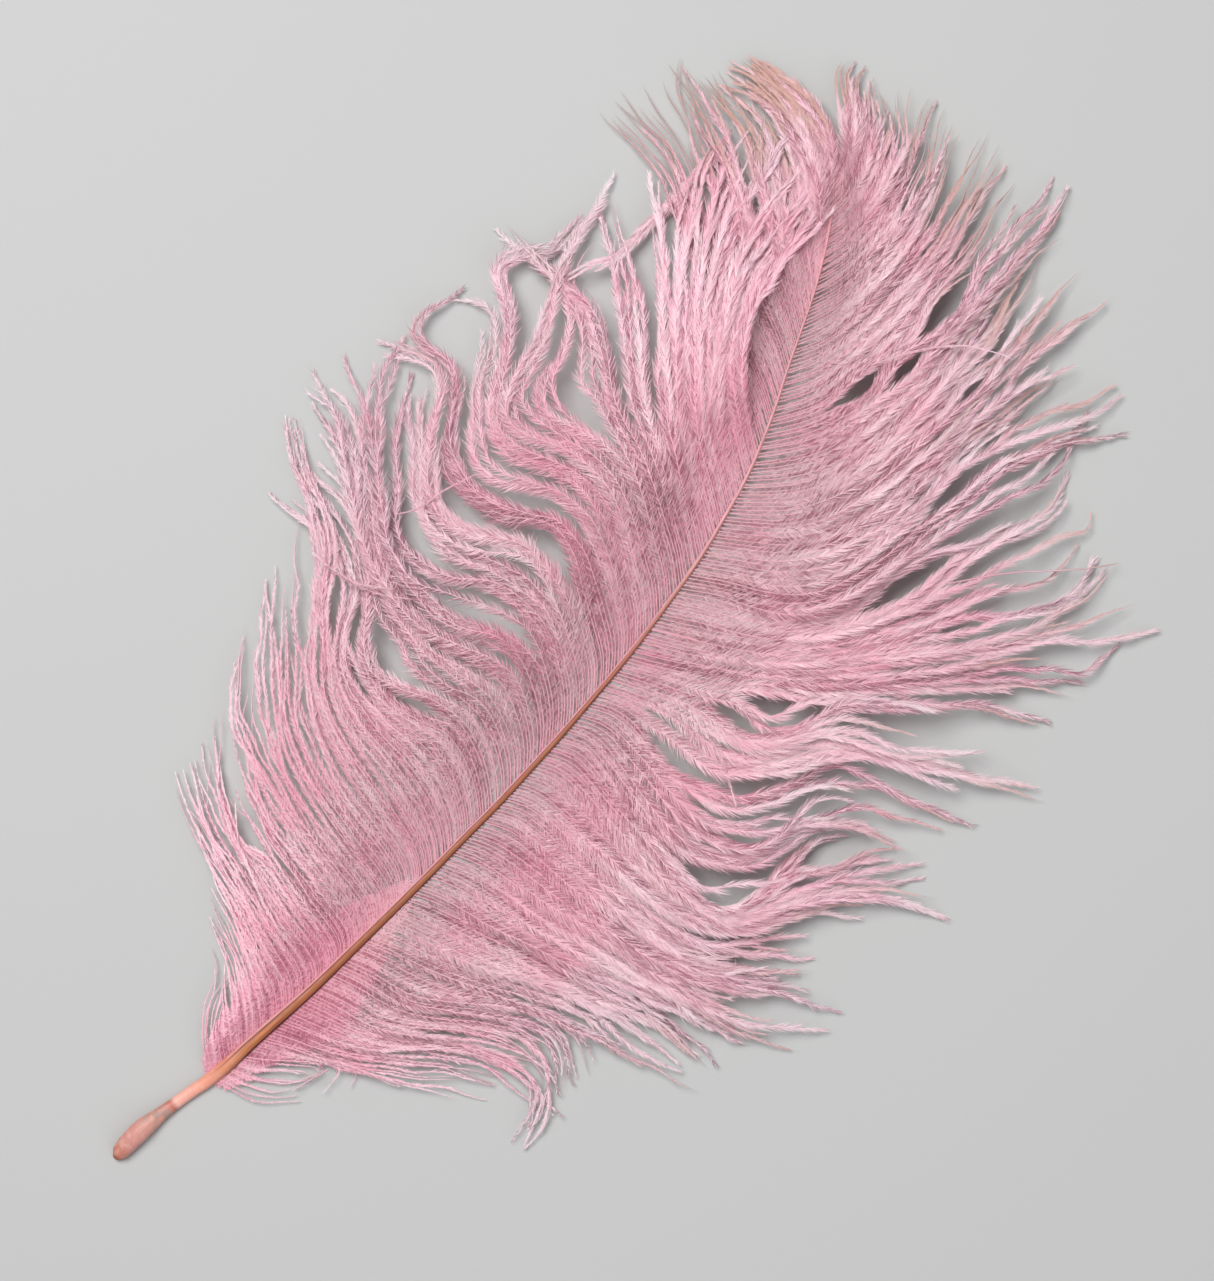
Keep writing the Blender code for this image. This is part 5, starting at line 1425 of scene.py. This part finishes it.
top_bm = bmesh.new()
bmesh.ops.create_grid(top_bm, x_segments=1, y_segments=1, size=TABLE_HALF)
top_mesh = bpy.data.meshes.new("table_top")
top_bm.to_mesh(top_mesh)
top_bm.free()
table_top = put_in_scene("table_top", top_mesh)
table_top.location = (0, 0, -TABLE_GAP)
top_skin, _, top_shader = new_material("pale_table")
top_shader.inputs["Base Color"].default_value = (0.52, 0.52, 0.51, 1)
top_shader.inputs["Roughness"].default_value = 0.8
top_mesh.materials.append(top_skin)
print("table top:", [round(side, 1) for side in table_top.dimensions], "m")

# %% [markdown]
# ## Camera
# The photograph looks straight down with the feather lying slantwise, so the camera hangs above it and is
# turned about its own axis. A picture that is taller than wide has its sensor's long side upright, and
# the lens follows from how many millimetres the frame's height has to show at the camera's distance.

# %% Camera
PIXEL = 0.16            # one pixel of the photograph, mm
PHOTO_HEIGHT = 1281     # pixels
LOOK_AT = (10.93, 91.40, 4.0)   # what the middle of the picture shows, mm
TURN = 35.18            # how far the camera is turned, degrees
DISTANCE = 0.55         # of the camera above the feather, m
SENSOR = 36.0           # long side of the sensor, mm

target = Vector(LOOK_AT) * MM
camera = put_in_scene("camera", bpy.data.cameras.new("camera"))
camera.location = target + Vector((0, 0, DISTANCE))
camera.rotation_euler = (0, 0, math.radians(TURN))
camera.data.sensor_width = SENSOR
camera.data.lens = SENSOR * DISTANCE / (PHOTO_HEIGHT * PIXEL * MM)
camera.data.clip_start = 0.01
bpy.context.scene.camera = camera
print("lens:", round(camera.data.lens, 1), "mm")

# %% [markdown]
# ## Light
# Fur and down show their depth only where light comes from one side, and look harsh where it comes from a
# point. One window-sized area light stands to the upper left of the picture, a broad weak one fills the
# other side, and a dim world keeps the deepest gaps from going black.

# %% Light
def area_light(name, place, size, watts):
    """A square light at a place in m, with its side in m, turned to the middle of the picture."""
    lamp = bpy.data.lights.new(name, "AREA")
    lamp.size = size
    lamp.energy = watts
    light = put_in_scene(name, lamp)
    light.location = place
    light.rotation_euler = (target - Vector(place)).to_track_quat("-Z", "Y").to_euler()


area_light("window", (-0.38, 0.21, 0.84), 0.5, 8.4)
area_light("bounce", (0.6, -0.1, 0.6), 0.9, 2.3)
world = bpy.data.worlds.new("soft_room")
bpy.context.scene.world = world
world.use_nodes = True
room = world.node_tree.nodes["Background"]
room.inputs["Color"].default_value = (0.9, 0.93, 1, 1)
room.inputs["Strength"].default_value = 0.22
bpy.context.scene.view_settings.view_transform = "Standard"
print("lights:", [light.name for light in bpy.data.lights])
